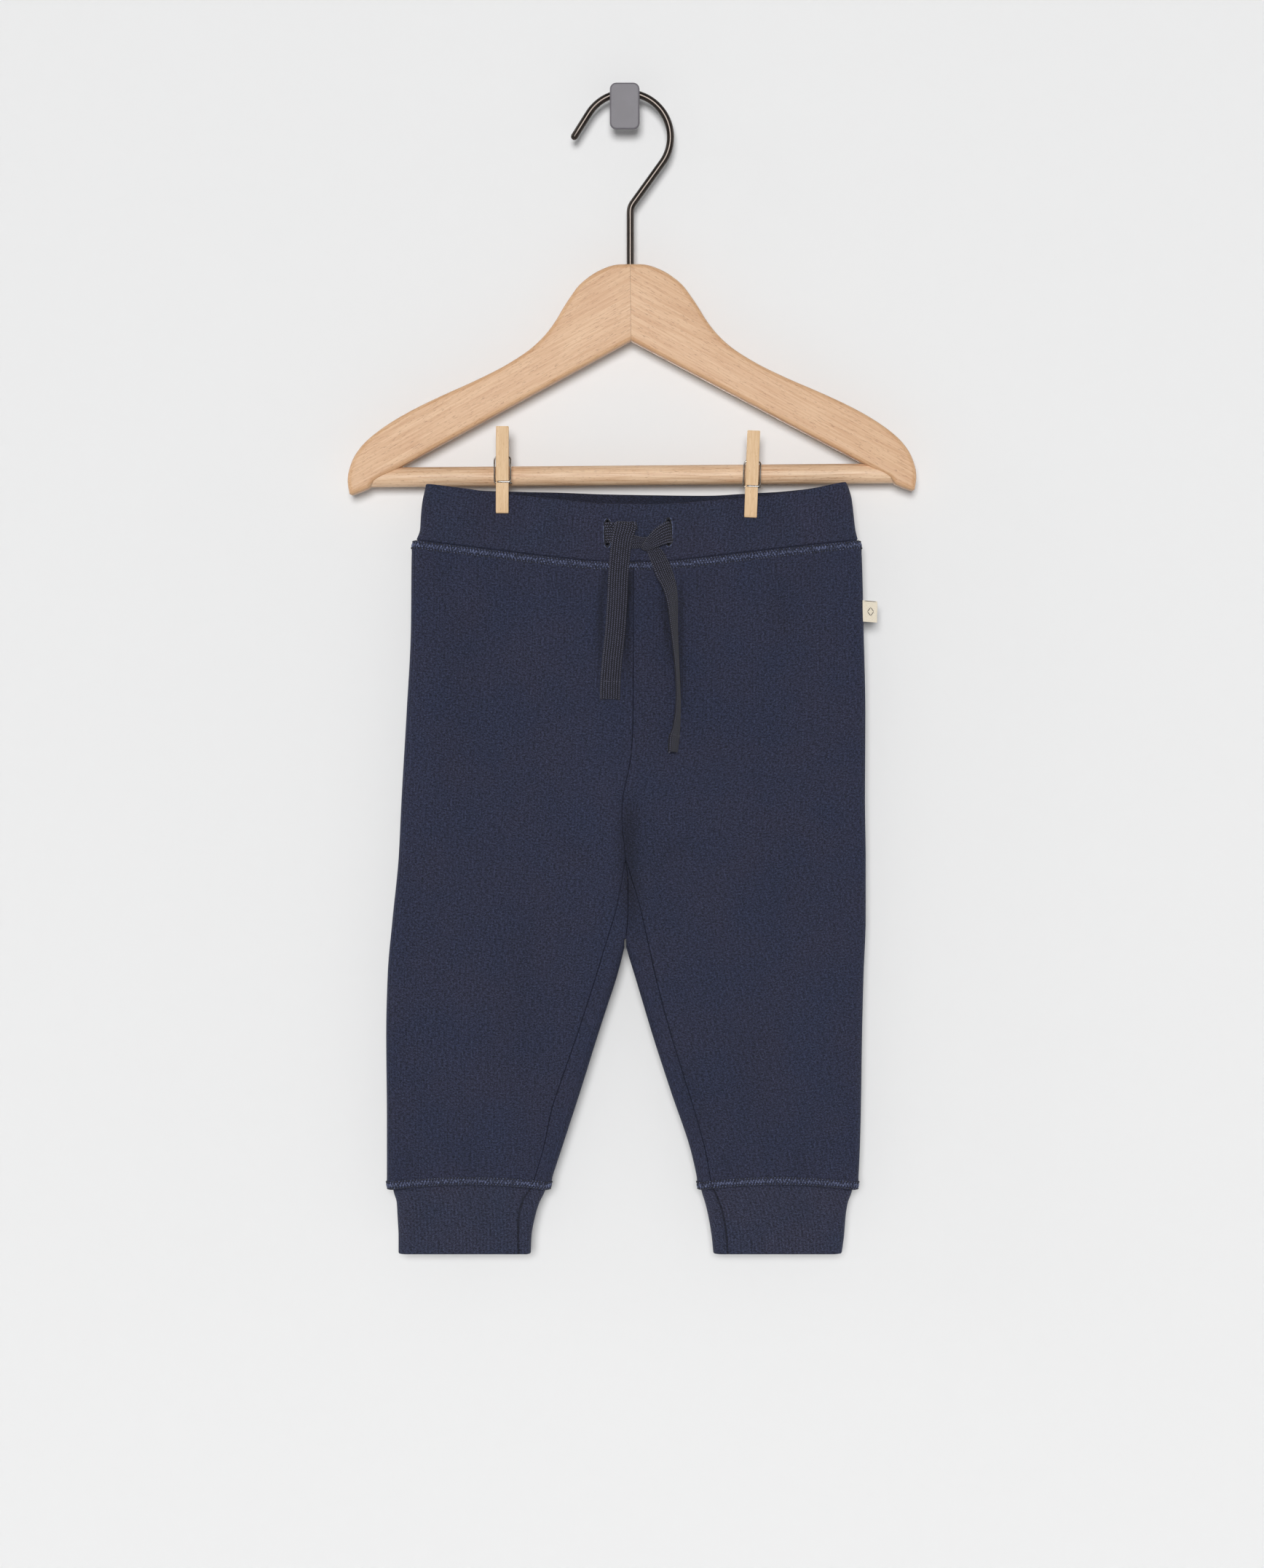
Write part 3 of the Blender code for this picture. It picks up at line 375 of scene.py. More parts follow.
hanger_place = (Matrix.Translation((SHAFT_X, HANGER_DEPTH, HANGER_TOP))
                @ Matrix.Rotation(-HANGER_TILT, 4, "Y"))
arm_slope = (ARM_INNER[-2][1] - ARM_INNER[-1][1]) / ARM_INNER[-2][0]
for name, side in (("hanger_left", -1), ("hanger_right", 1)):
    outer = [(-PAST_MITRE, 0.0)] + [tuple(p) for p in curve_through(ARM_OUTER, 3)]
    inner = list(ARM_INNER[:-1]) + [(-PAST_MITRE, ARM_INNER[-1][1] - arm_slope * PAST_MITRE)]
    outline = [(side * x, -down) for x, down in outer + inner]
    verts, faces = rounded_slab(outline, HANGER_THICKNESS, HANGER_ROUNDING, 5)
    bm = bmesh.new()
    corners = [bm.verts.new(co) for co in verts]
    for face in faces:
        bm.faces.new([corners[i] for i in face])
    tip = Vector((side * ARM_INNER[0][0], -ARM_INNER[0][1]))
    for face in [f for f in bm.faces if len(f.verts) > 4]:
        close = [v for v in face.verts if (v.co.xz - tip).length < TIP_MERGE]
        middle = sum((v.co for v in close), Vector()) / len(close)
        bmesh.ops.pointmerge(bm, verts=close, merge_co=middle)
    cut = bmesh.ops.bisect_plane(bm, geom=bm.verts[:] + bm.edges[:] + bm.faces[:],
                                 plane_co=(side * MITRE_GAP / 2, 0, 0), plane_no=(-side, 0, 0),
                                 clear_outer=True)
    rim = [e for e in cut["geom_cut"] if isinstance(e, bmesh.types.BMEdge)]
    bmesh.ops.edgenet_fill(bm, edges=rim)
    bmesh.ops.recalc_face_normals(bm, faces=bm.faces)
    bmesh.ops.transform(bm, matrix=hanger_place, verts=bm.verts)
    bmesh.ops.scale(bm, vec=(MM, MM, MM), verts=bm.verts)
    mesh = bpy.data.meshes.new(name)
    bm.to_mesh(mesh)
    bm.free()
    for face in mesh.polygons:
        face.use_smooth = len(face.vertices) <= 4
    mesh.set_sharp_from_angle(angle=radians(35))
    show(f"{name}_arm", mesh, beech_along(f"lacquered_beech_{name}", -side * ARM_SLOPE), "beech", name)

bar_ends = [hanger_place @ Vector((side * BAR_REACH, 0, -BAR_BELOW_TOP)) for side in (-1, 1)]
bar_line = [bar_ends[0].lerp(bar_ends[1], i / 24) for i in range(25)]
bar = mesh_of("hanger_bar", *swept(bar_line, BAR_RADIUS, 40, rounded_ends=False))
bar_beech = beech_along("lacquered_beech_bar", HANGER_TILT, "#e0b992", "#f6d9ba")
show("hanger_rail", bar, bar_beech, "beech", "hanger_bar")

# Black nickel on drawn steel wire: a near-black metal skin, bright where it turns to the light.
black_nickel, tree, shader = new_material("black_nickel_on_steel_wire", Metallic=1.0)
worn = noise(tree, node(tree, "ShaderNodeTexCoord").outputs["Object"], 160.0, 4.0)
surface(tree, shader, blended(tree, worn, "#3b3633", "#5a534e"))
tree.links.new(ranged(tree, worn, 0.0, 1.0, 0.24, 0.42), shader.inputs["Roughness"])

ring = arc(HOOK_CENTRE, HOOK_RADIUS, HOOK_LEAVE, HOOK_NECK, 56)
tip = (ring[0][0] - HOOK_TIP * sin(HOOK_LEAVE), ring[0][1] + HOOK_TIP * cos(HOOK_LEAVE))
bend = [tuple(p) for p in curve_through([ring[-1]] + HOOK_BEND, 4)[1:]]
middle_of_tip = ((tip[0] + ring[0][0]) / 2, (tip[1] + ring[0][1]) / 2)
shaft = [(SHAFT_X, z) for z in np.linspace(-68.0, HANGER_TOP - 23.0, 12)]
hook_line = [(x, HANGER_DEPTH, z) for x, z in [tip, middle_of_tip] + ring + bend + shaft]
wire = mesh_of("hanger_hook", *swept(hook_line, WIRE_RADIUS, 20))
show("hanger_wire_hook", wire, black_nickel, "hook_wire", "hanger_hook")


# ---------------------------------------------------------------- Pegs
# Mini clothes pegs: two sawn birch legs each, sprung by one bright steel wire that is coiled between
# them and crosses a notch on each leg. Their jaws hold the waistband against the hanger's bar.
CLOTH_DEPTH = -26.3
PEG_WIDTH = 7.0
PEG_LEG = 3.0
PEG_HANDLE = 16.0
PEG_JAW = 32.0
PEG_HALF_GAP = 0.6
PEG_OPENING = radians(4.1)
PEG_ROUNDING = 0.45
SPRING_WIRE = 0.45
SPRING_COIL = 1.55
SPRING_TURNS = 5
SPRING_CROSSING = 14.8
COIL_GAP = 0.3
PEGS = [("peg_left", -68.0, -195.2, 0.0), ("peg_right", 69.7, -197.6, radians(2.3))]


def leg_outline():
    """A leg from the side: across is away from the other leg, up is along it from the coil."""
    outer = PEG_HALF_GAP + PEG_LEG
    groove = 2 * SPRING_WIRE + 0.2
    notch_radius = SPRING_COIL + SPRING_WIRE + COIL_GAP
    start = atan2((notch_radius ** 2 - PEG_HALF_GAP ** 2) ** 0.5, PEG_HALF_GAP)
    return ([(PEG_HALF_GAP, -PEG_JAW)] + arc((0.0, 0.0), notch_radius, -start, start, 13)
            + [(PEG_HALF_GAP + 1.4, PEG_HANDLE), (outer - 0.1, PEG_HANDLE), (outer, PEG_HANDLE - 1.0),
               (outer, -SPRING_CROSSING + groove / 2), (outer - groove, -SPRING_CROSSING + groove / 2),
               (outer - groove, -SPRING_CROSSING - groove / 2), (outer, -SPRING_CROSSING - groove / 2),
               (outer, -PEG_JAW + 0.8), (outer - 0.6, -PEG_JAW)])


def spring_path():
    """One wire: back arm, coil, front arm. Depth is -Y at the front."""
    reach = PEG_WIDTH / 2 + COIL_GAP + SPRING_WIRE + 0.2
    wire_out = PEG_HALF_GAP + PEG_LEG - SPRING_WIRE - 0.1
    depth = wire_out * cos(PEG_OPENING) + SPRING_CROSSING * sin(PEG_OPENING)
    drop = -SPRING_CROSSING * cos(PEG_OPENING) + wire_out * sin(PEG_OPENING)
    half_coil = PEG_WIDTH / 2 - 0.6
    coil = []
    for turn in np.linspace(0.0, 1.0, SPRING_TURNS * 14 + 1):
        angle = 2 * pi * SPRING_TURNS * turn
        coil.append((half_coil * (2 * turn - 1), SPRING_COIL * cos(angle), SPRING_COIL * sin(angle)))
    front = [(half_coil + 0.9, SPRING_COIL * cos(0.6), -SPRING_COIL * sin(0.6)),
             (reach, 0.2, -SPRING_COIL - 0.1), (reach, -1.2, -3.4),
             (reach, -depth * 0.6, drop * 0.7), (reach, -depth + 0.35, drop + 1.4),
             (reach - 0.4, -depth, drop + 0.3), (reach - 1.2, -depth, drop), (-2.4, -depth, drop)]
    back = [(-half_coil - 0.9, SPRING_COIL, -0.9), (-reach, SPRING_COIL + 0.2, -2.4),
            (-reach, depth * 0.7, drop * 0.6), (-reach, depth - 0.35, drop + 1.4),
            (-reach + 0.4, depth, drop + 0.3), (-reach + 1.2, depth, drop), (reach + 0.3, depth, drop)]
    return curve_through(back[::-1] + coil + front, 2)


# Sawn birch: creamy wood with fine straight lines down each leg and a dry, open surface.
birch, tree, shader = new_material("sawn_birch", Roughness=0.62, IOR=1.5)
here = node(tree, "ShaderNodeTexCoord").outputs["Object"]
lines = noise(tree, scaled(tree, here, (1100.0, 1100.0, 45.0)), 1.0, 4.0)
marks = noise(tree, scaled(tree, here, (1900.0, 1900.0, 300.0)))
tone = blended(tree, lines, "#cfa473", "#f1d4ae")
marked = blended(tree, ranged(tree, marks, 0.6, 0.75, 0.0, 0.45), tone, "#a9753f")
surface(tree, shader, marked, lines, 0.3, 0.0003)

# Drawn spring steel: a bright, slightly streaked wire with sharp highlights.
spring_steel, tree, shader = new_material("drawn_spring_steel", Metallic=1.0)
drawn = noise(tree, node(tree, "ShaderNodeTexCoord").outputs["Object"], 500.0, 3.0)
surface(tree, shader, blended(tree, drawn, "#8f8b86", "#c9c5bf"))
tree.links.new(ranged(tree, drawn, 0.0, 1.0, 0.18, 0.34), shader.inputs["Roughness"])

for name, peg_x, coil_height, tilt in PEGS:
    peg_place = (Matrix.Translation((peg_x, CLOTH_DEPTH, coil_height)) @ Matrix.Rotation(tilt, 4, "Y"))
    for face, side in (("front", -1), ("back", 1)):
        verts, faces = rounded_slab(leg_outline(), PEG_WIDTH, PEG_ROUNDING, 3)
        sideways = Matrix.Rotation(side * PEG_OPENING, 4, "X") @ Matrix.Rotation(side * pi / 2, 4, "Z")
        placed = [peg_place @ sideways @ Vector(co) for co in verts]
        leg = mesh_of(f"{name}_{face}", placed, faces, sharp=50.0)
        show(f"{name}_{face}_leg", leg, birch, "peg_wood", f"{name}_{face}")
    wire = mesh_of(f"{name}_spring", *swept([peg_place @ p for p in spring_path()], SPRING_WIRE, 10))
    show(f"{name}_wire", wire, spring_steel, "spring_wire", f"{name}_spring")


# ---------------------------------------------------------------- Waistband
# A band of doubled cotton rib, folded at its top edge and closed by a seam at the centre back. Two
# stitched buttonholes let the drawstring out at the front. The pegs press its two faces together.
HALF_DEPTH = 5.2
BAND_WALL = 1.6
BAND_TUCK = 1.75
WAIST_SEAM = 0.3
BODY_TOP = -241.5
LEFT, RIGHT = 1, 2
# Height, then the outermost edge at the left and at the right
BAND_SIDES = np.array([
    (-209.0, -109.8, 120.2), (-214.0, -110.7, 122.6), (-220.0, -112.0, 124.3), (-227.0, -112.8, 125.2),
    (-236.0, -113.4, 126.3), (-242.0, -115.6, 127.8)])
# Place across (0 at the left fold, 1 at the right), then heights: front top, back top, front and back seam
WAIST = np.array([
    (0.00, -210.6, -210.6, -241.5, -241.5), (0.17, -215.6, -214.6, -246.6, -244.6),
    (0.30, -219.0, -215.1, -250.4, -247.0), (0.42, -221.6, -216.1, -253.0, -248.6),
    (0.54, -222.0, -216.6, -253.2, -249.0), (0.66, -220.4, -216.9, -250.6, -247.6),
    (0.78, -217.8, -215.7, -247.2, -245.0), (0.89, -214.6, -213.7, -244.2, -243.0),
    (1.00, -209.4, -209.4, -241.5, -241.5)])
TOP, SEAM_LINE = {"front": 1, "back": 2}, {"front": 3, "back": 4}
BUTTONHOLES = [(-10.2, -238.0), (23.4, -237.4)]
BUTTONHOLE_HALF_LENGTH = 7.4
BUTTONHOLE_HALF_WIDTH = 1.5
BUTTONHOLE_EASE = 5.0
CREASE_BOW = 0.12
NARROW_CREASE = 6.0
FACE_SHARPNESS = 2.5
DEEPEST = -4.0
SEAM_PAINTED_SHADE = 3.4
SEAM_REACH = 0.6
INSIDE = 20000.0
EDGE_SHARE = 0.46
# Soft creases of the band: from (x, z) to (x, z), reach to each side, and height (troughs are negative)
BAND_FRONT_CREASES = [
    (-107.5, -212, -110.5, -240, 1.6, -0.55), (-96, -218, -97, -243, 4.0, 0.25),
    (-84, -221, -85, -246, 5.0, -0.3), (-52, -223, -50, -249, 5.0, 0.35), (-36, -226, -38, -250, 4.0, -0.3),
    (-21, -222, -20, -236, 3.5, 0.25), (38, -224, 36, -251, 4.5, -0.3), (51, -222, 53, -248, 5.0, 0.35),
    (86, -219, 84, -246, 4.5, -0.3), (99, -216, 101, -243, 5.0, 0.3), (112, -213, 116, -240, 3.0, -0.3)]
BAND_BACK_CREASES = [
    (3.6, -215, 3.6, -252, 0.9, -0.7), (9, -216, 10, -250, 3.0, 0.3), (-4, -216, -4, -250, 3.0, 0.3),
    (-30, -216, -28, -248, 4.5, -0.45), (-46, -217, -48, -247, 5.0, 0.4), (-88, -214, -90, -244, 4.0, -0.4),
    (-101, -212, -104, -242, 4.0, 0.3), (30, -217, 33, -249, 4.5, -0.4), (49, -218, 46, -246, 5.0, 0.45),
    (90, -214, 93, -244, 4.5, -0.45), (108, -212, 110, -242, 5.0, 0.35)]


def ease(value):
    """Go smoothly from 0 to 1 as value does."""
    value = np.clip(value, 0.0, 1.0)
    return value * value * (3.0 - 2.0 * value)


def read(table, column, at):
    """Read a table's column at values of its first column, along a curve that never overshoots."""
    keys, values = table[:, 0], table[:, column]
    if keys[0] > keys[-1]:
        keys, values = keys[::-1], values[::-1]
    steps, slopes = np.diff(keys), np.diff(values) / np.diff(keys)
    tangents = np.concatenate([slopes[:1], np.zeros(len(keys) - 2), slopes[-1:]])
    agree = slopes[:-1] * slopes[1:] > 0
    tangents[1:-1][agree] = (2 * slopes[:-1] * slopes[1:])[agree] / (slopes[:-1] + slopes[1:])[agree]
    at = np.clip(np.asarray(at, float), keys[0], keys[-1])
    i = np.clip(np.searchsorted(keys, at, side="right") - 1, 0, len(steps) - 1)
    t = (at - keys[i]) / steps[i]
    return (values[i] * (1 + 2 * t) * (1 - t) ** 2 + values[i + 1] * t * t * (3 - 2 * t)
            + steps[i] * (tangents[i] * t * (1 - t) ** 2 - tangents[i + 1] * t * t * (1 - t)))


def relief(creases, x, z):
    """How far soft creases lift the cloth at places on it."""
    height = np.zeros_like(x)
    for x0, z0, x1, z1, reach, lift in creases:
        length = np.hypot(x1 - x0, z1 - z0)
        along = ((x - x0) * (x1 - x0) + (z - z0) * (z1 - z0)) / length ** 2
        bow = CREASE_BOW * length * along * (1 - along) * (1 if lift > 0 else -1)
        across = ((x - x0) * (z1 - z0) - (z - z0) * (x1 - x0)) / length + bow
        height += lift * ease(3.5 * along) * ease(2.2 * (1 - along)) * np.exp(-(across / reach) ** 2)
    return height


def painted_crease_shade(creases, x, z):
    """How much painted shade the cloth's colour gets at places on it: a narrow crease trough is painted
    darker than a wide one.
    """
    return sum(relief([crease], x, z) * min(1.0, NARROW_CREASE / crease[4]) ** 2 for crease in creases)


def cloth_piece(name, grids, wall, material, slot, stands_for, gone=(), rounding=None, creases=None,
                seam=None):
    """A thin cloth shell. Each grid holds points on the outer face, row under row, with their places on
    the flat cloth; grids are welded where they meet. Every free edge is rounded over, so two pieces that
    meet leave the fine groove of a seam. gone holds tests for the cells that are left open. The weave of
    the inner face lies INSIDE millimetres up, so that a cloth can tell its inner face. creases gives the
    front and back creases whose troughs get painted shade in the cloth's colour, and seam gives where a
    seam within the front of the piece lies at a height, along which a line of painted shade is laid."""
    bm = bmesh.new()
    weave = bm.loops.layers.uv.new("weave")
    for points, flat, wrapped in grids:
        rows, columns = points.shape[:2]
        corners = [[bm.verts.new(points[r, c]) for c in range(columns)] for r in range(rows)]
        for r in range(rows - 1):
            for c in range(columns if wrapped else columns - 1):
                d = (c + 1) % columns
                face = bm.faces.new((corners[r][c], corners[r + 1][c], corners[r + 1][d], corners[r][d]))
                for loop, (i, j) in zip(face.loops, ((r, c), (r + 1, c), (r + 1, c + 1), (r, c + 1))):
                    loop[weave].uv = flat[i, j]
    bmesh.ops.remove_doubles(bm, verts=bm.verts, dist=0.01)
    if gone:
        bm.faces.ensure_lookup_table()
        lost = [f for f in bm.faces if any(inside(f.calc_center_median()) for inside in gone)]
        bmesh.ops.delete(bm, geom=lost, context="FACES")
    bm.normal_update()
    edges = [e for e in bm.edges if len(e.link_faces) == 1]
    spots = []
    for edge in edges:
        a, b = edge.verts[0].co, edge.verts[1].co
        steps = max(int((b - a).length / 0.25), 1)
        spots += [a.lerp(b, (k + 0.5) / steps) for k in range(steps)]
        spots += [a.copy(), b.copy()]
    tree = KDTree(len(spots))
    for i, spot in enumerate(spots):
        tree.insert(spot, i)
    tree.balance()
    bm.verts.index_update()
    radius = wall / 2 if rounding is None else rounding
    co = np.array([v.co for v in bm.verts])
    normal = np.array([v.normal for v in bm.verts])
    near = np.minimum(np.array([tree.find(v.co)[2] for v in bm.verts]), radius)
    inset = np.minimum(radius - np.sqrt(np.maximum(radius ** 2 - (radius - near) ** 2, 0.0)),
                       wall * EDGE_SHARE)
    outer = co - normal * inset[:, None]
    inner = co - normal * (wall - inset)[:, None]
    count = len(co)
    faces, uvs = [], []
    for face in bm.faces:
        loops = [(loop.vert.index, tuple(loop[weave].uv)) for loop in face.loops]
        faces.append([i for i, _ in loops])
        uvs += [uv for _, uv in loops]
        faces.append([i + count for i, _ in reversed(loops)])
        uvs += [(uv[0], uv[1] + INSIDE) for _, uv in reversed(loops)]
    for edge in edges:
        loop = edge.link_loops[0]
        a, b = loop.vert.index, loop.link_loop_next.vert.index
        faces.append([b, a, a + count, b + count])
        first, second = tuple(loop[weave].uv), tuple(loop.link_loop_next[weave].uv)
        uvs += [second, first, first, second]
    bm.free()
    mesh = mesh_of(name, np.concatenate([outer, inner]), faces, uvs, sharp=60.0)
    # Painted shade: a point value that darkens the colour in narrow crease troughs and along the seam,
    # lightens ridges a little, and is read by the knit materials.
    if creases:
        forward = FACE_SHARPNESS * (CLOTH_DEPTH - co[:, 1]) / HALF_DEPTH
        painted_shade = (painted_crease_shade(creases[0], co[:, 0], co[:, 2]) * np.clip(forward, 0.0, 1.0)
                  + painted_crease_shade(creases[1], co[:, 0], co[:, 2]) * np.clip(-forward, 0.0, 1.0))
        if seam:
            off_seam = (co[:, 0] - seam(co[:, 2])) / SEAM_REACH
            painted_shade -= SEAM_PAINTED_SHADE * np.exp(-off_seam ** 2) * np.clip(forward, 0.0, 1.0)
        layer = mesh.attributes.new("painted_shade", "FLOAT", "POINT")
        layer.data.foreach_set("value", np.concatenate([painted_shade, painted_shade]).astype(np.float32))
    return show(name, mesh, material, slot, *stands_for)


def way_along(line):
    """How far along a line each of its points lies."""
    return np.concatenate([[0], np.cumsum(np.linalg.norm(np.diff(line, axis=0), axis=1))])


def flat_places(points, wrapped=False):
    """Where a grid's points lie on the flat cloth: the way along each row, and down each column."""
    ring = np.concatenate([points, points[:, :1]], axis=1) if wrapped else points
    steps = np.linalg.norm(np.diff(ring, axis=1), axis=2)
    across = np.concatenate([np.zeros((len(ring), 1)), np.cumsum(steps, axis=1)], axis=1)
    drops = np.linalg.norm(np.diff(ring, axis=0), axis=2)
    down = np.concatenate([np.zeros((1, ring.shape[1])), np.cumsum(drops, axis=0)], axis=0)
    return np.stack([across, -down], axis=2)


def pressed_depth(x, z, part):
    """Half the band's depth at places on it: less near the pegs' jaws."""
    half = np.full_like(x, HALF_DEPTH)
    for _, peg_x, coil_height, tilt in PEGS:
        below = coil_height - z
        centre = peg_x - below * sin(tilt)
        jaw = PEG_HALF_GAP + below * sin(PEG_OPENING) - 0.3
        held = ease(1.0 - (abs(x - centre) - PEG_WIDTH / 2 - 1.0) / 14.0) * ease(2.0 - 2.0 * part)
        half = np.minimum(half, jaw + (HALF_DEPTH - jaw) * (1.0 - held))
    return half


def fold_points(edge, side, angles, z, depth=HALF_DEPTH):
    """Points round a fold whose edge is at x and which opens towards the garment's middle."""
    angles = np.asarray(angles)
    x = edge - side * depth * (1.0 - np.cos(angles))
    y = CLOTH_DEPTH - depth * np.sin(angles)
    return np.stack(np.broadcast_arrays(x, y, z), axis=-1)


def band_grid():
    """The band's outer face, ring under ring, from its top fold down to the waist seam."""
    near = np.array([0.05, 0.35, 0.75, 1.25, 1.9, 2.7, 3.6, 4.6])
    fronts = np.linspace(-108.0, 119.0, 152)
    for hole_x, _ in BUTTONHOLES:
        fronts = fronts[abs(fronts - hole_x) > 5.2]
        fronts = np.concatenate([fronts, hole_x - near, hole_x + near])
    fronts = np.sort(fronts)
    backs = np.linspace(119.0, -108.0, 130)
    turn = np.linspace(pi / 2, -pi / 2, 13)[1:-1]
    rows = []
    for part in np.concatenate([[0, 0.004, 0.012, 0.024, 0.045], np.linspace(0.08, 0.94, 18),
                                [0.965, 0.985, 1.0, 1.015, 1.035, 1.06, 1.09]]):
        level = WAIST[0, 1] * (1 - part) + (WAIST[0, 3] + WAIST_SEAM / 2) * part
        tuck = BAND_TUCK * ease((part - 0.99) / 0.045)
        left, right = read(BAND_SIDES, LEFT, level), read(BAND_SIDES, RIGHT, level)
        low, high = left + HALF_DEPTH, right - HALF_DEPTH
        left, right = left + tuck, right - tuck

        def height(x, face):
            across = (x - left) / (right - left)
            seam = read(WAIST, SEAM_LINE[face], across) + WAIST_SEAM / 2
            return read(WAIST, TOP[face], across) * (1 - part) + seam * part

        x = (fronts + (low - fronts[0]) * ease((-40.0 - fronts) / 68.0)
             + (high - fronts[-1]) * ease((fronts - 45.0) / 74.0))
        z = height(x, "front")
        y = CLOTH_DEPTH - pressed_depth(x, z, part) - relief(BAND_FRONT_CREASES, x, z) + tuck
        for hole_x, hole_z in BUTTONHOLES:
            open_by = BUTTONHOLE_HALF_WIDTH * np.sqrt(np.clip(
                1 - ((z - hole_z) / BUTTONHOLE_HALF_LENGTH) ** 2, 0, 1))
            x = x + np.sign(x - hole_x) * open_by * ease(1 - abs(x - hole_x) / BUTTONHOLE_EASE)
        row = [np.stack([x, y, z], axis=1)]
        right_level, right_in = height(right, "front"), height(high, "front")
        row.append(fold_points(right, 1, turn, right_level + (right_in - right_level) * (1 - np.cos(turn)),
                               HALF_DEPTH - tuck))
        x = high + (backs - backs[0]) * (low - high) / (backs[-1] - backs[0])
        z = height(x, "back")
        y = CLOTH_DEPTH + pressed_depth(x, z, part) + relief(BAND_BACK_CREASES, x, z) - tuck
        row.append(np.stack([x, y, z], axis=1))
        left_level, left_in = height(left, "front"), height(low, "front")
        row.append(fold_points(left, -1, turn[::-1],
                               left_level + (left_in - left_level) * (1 - np.cos(turn[::-1])),
                               HALF_DEPTH - tuck))
        rows.append(np.concatenate(row))
    return np.array(rows)


def in_buttonhole(spot):
    """Whether a cell of the band lies in one of the open buttonholes."""
    return spot.y < CLOTH_DEPTH and any(
        abs(spot.x - x) < 0.04 and abs(spot.z - z) < BUTTONHOLE_HALF_LENGTH - 0.3 for x, z in BUTTONHOLES)


def knitted(name, base, blotch, light, wale, groove_shade):
    """Navy cotton knit. blotch is the tone that the dye clouds towards, wale the spacing of its upright ribs
    in millimetres, and the last value how much darker the grooves between the ribs are painted, as painted
    shade. Every loop's colour varies at random, partly as dye and partly as painted light and shade, which
    gives the face its fine grain, and brushed fibre ends keep it dry and soft, with no shine. The troughs of
    soft folds and seams get painted shade, ridges a little painted light, and the inner face painted shade."""
    made, tree, shader = new_material(name, Roughness=0.93, IOR=1.45, Sheen_Weight=0.12,
                                      Sheen_Roughness=0.45, Sheen_Tint=linear("#7480a4"))
    place = node(tree, "ShaderNodeTexCoord")
    weave = place.outputs["UV"]

    def marks(width, height, detail=2.0):
        """Noise whose marks are this many millimetres across and down the cloth."""
        return noise(tree, scaled(tree, weave, (1000 / width, 1000 / height, 1.0)), 1.0, detail, 0.6, True)

    loops = marks(0.5, 0.46)
    ribs = node(tree, "ShaderNodeTexWave", {"wave_type": "BANDS", "bands_direction": "X",
                                            "wave_profile": "SIN"},
                {"Vector": weave, "Scale": 1000 / wale / 20 * pi, "Distortion": 1.2, "Detail": 1.0,
                 "Detail Scale": 0.6}).outputs["Fac"]
    painted_shade = node(tree, "ShaderNodeAttribute", {"attribute_name": "painted_shade"}).outputs["Fac"]
    tone = blended(tree, ranged(tree, noise(tree, place.outputs["Object"], 34.0, 3.0), 0.36, 0.64),
                   base, blotch)
    tone = blended(tree, 1.0, tone, ranged(tree, loops, 0.28, 0.72, 0.3, 1.7), "MULTIPLY")
    tone = blended(tree, 1.0, tone, ranged(tree, marks(1.5, 0.95), 0.3, 0.7, 0.48, 1.52), "MULTIPLY")
    tone = blended(tree, ranged(tree, marks(1.0, 0.8, 1.0), 0.56, 0.74, 0.0, 0.45), tone, light)
    # Painted shade: the grooves between the ribs are darkened.
    tone = blended(tree, 1.0, tone, ranged(tree, ribs, 0.0, 1.0, 1.0 - groove_shade), "MULTIPLY")
    # Painted shade in crease troughs and along seams, with a little painted light on ridges.
    tone = blended(tree, 1.0, tone, ranged(tree, painted_shade, DEEPEST, 0.4, 0.28, 1.04), "MULTIPLY")
    # Painted shade on the inner face: its colour is multiplied darker.
    painted_inside_shade = blended(tree, 1.0, tone, "#cbcbcd", "MULTIPLY")
    height = node(tree, "ShaderNodeSeparateXYZ", inputs={"Vector": weave}).outputs["Y"]
    within = reckoned(tree, "GREATER_THAN", height, INSIDE * MM / 2)
    surface(tree, shader, blended(tree, within, tone, painted_inside_shade), reckoned(tree, "ADD", ribs, loops), 0.5,
            0.00016)
    return made


band_rib = knitted("navy_cotton_rib_waist", "#282d42", "#2c2d41", "#474f6a", 0.86, 0.2)
band_points = band_grid()
waistband = cloth_piece("waistband_rib", [(band_points, flat_places(band_points, True), True)], BAND_WALL,
                        band_rib, "rib", ["waistband"], gone=[in_buttonhole],
                        creases=(BAND_FRONT_CREASES, BAND_BACK_CREASES))


# ---------------------------------------------------------------- Legs and seat
# Four panels of navy cotton sweat jersey with a brushed back: two fronts and two backs, joined by plain
# seams at the sides, the centre front and back and the inside legs. The back panels come forward
# between the legs, so their seams show on the front below the crotch.
BODY_WALL = 1.4
PANEL_SEAM = 0.16
SIDE_SEAM = 0.16
STRIP_SEAM = 0.24
SADDLE_SEAM = 0.3
CROTCH = -417.2
FORK = -464.4
SADDLE_RISE = 6.0
SADDLE_DROP = 8.0
STRIP_TIP = 2.0
BODY_BOTTOM = -599.2
CUFF_ARCH = 2.8
SEAM_ROUNDING = 0.45
SEAM_ALLOWANCE_LIFT = 0.42
CELL = 2.3
SIDE_SEAM_ANGLE = {-1: radians(50.0), 1: radians(14.0)}
BODY_SIDES = np.array([
    (-241.0, -116.4, 128.2), (-250.0, -118.0, 129.8), (-290.0, -118.4, 130.8), (-337.0, -120.8, 131.8),
    (-385.0, -123.6, 131.6), (-417.0, -125.2, 132.0), (-449.0, -128.4, 132.0), (-481.0, -131.2, 130.8),
    (-513.0, -132.0, 130.0), (-561.0, -131.6, 129.2), (-592.0, -131.6, 128.0), (-600.0, -130.4, 126.8)])
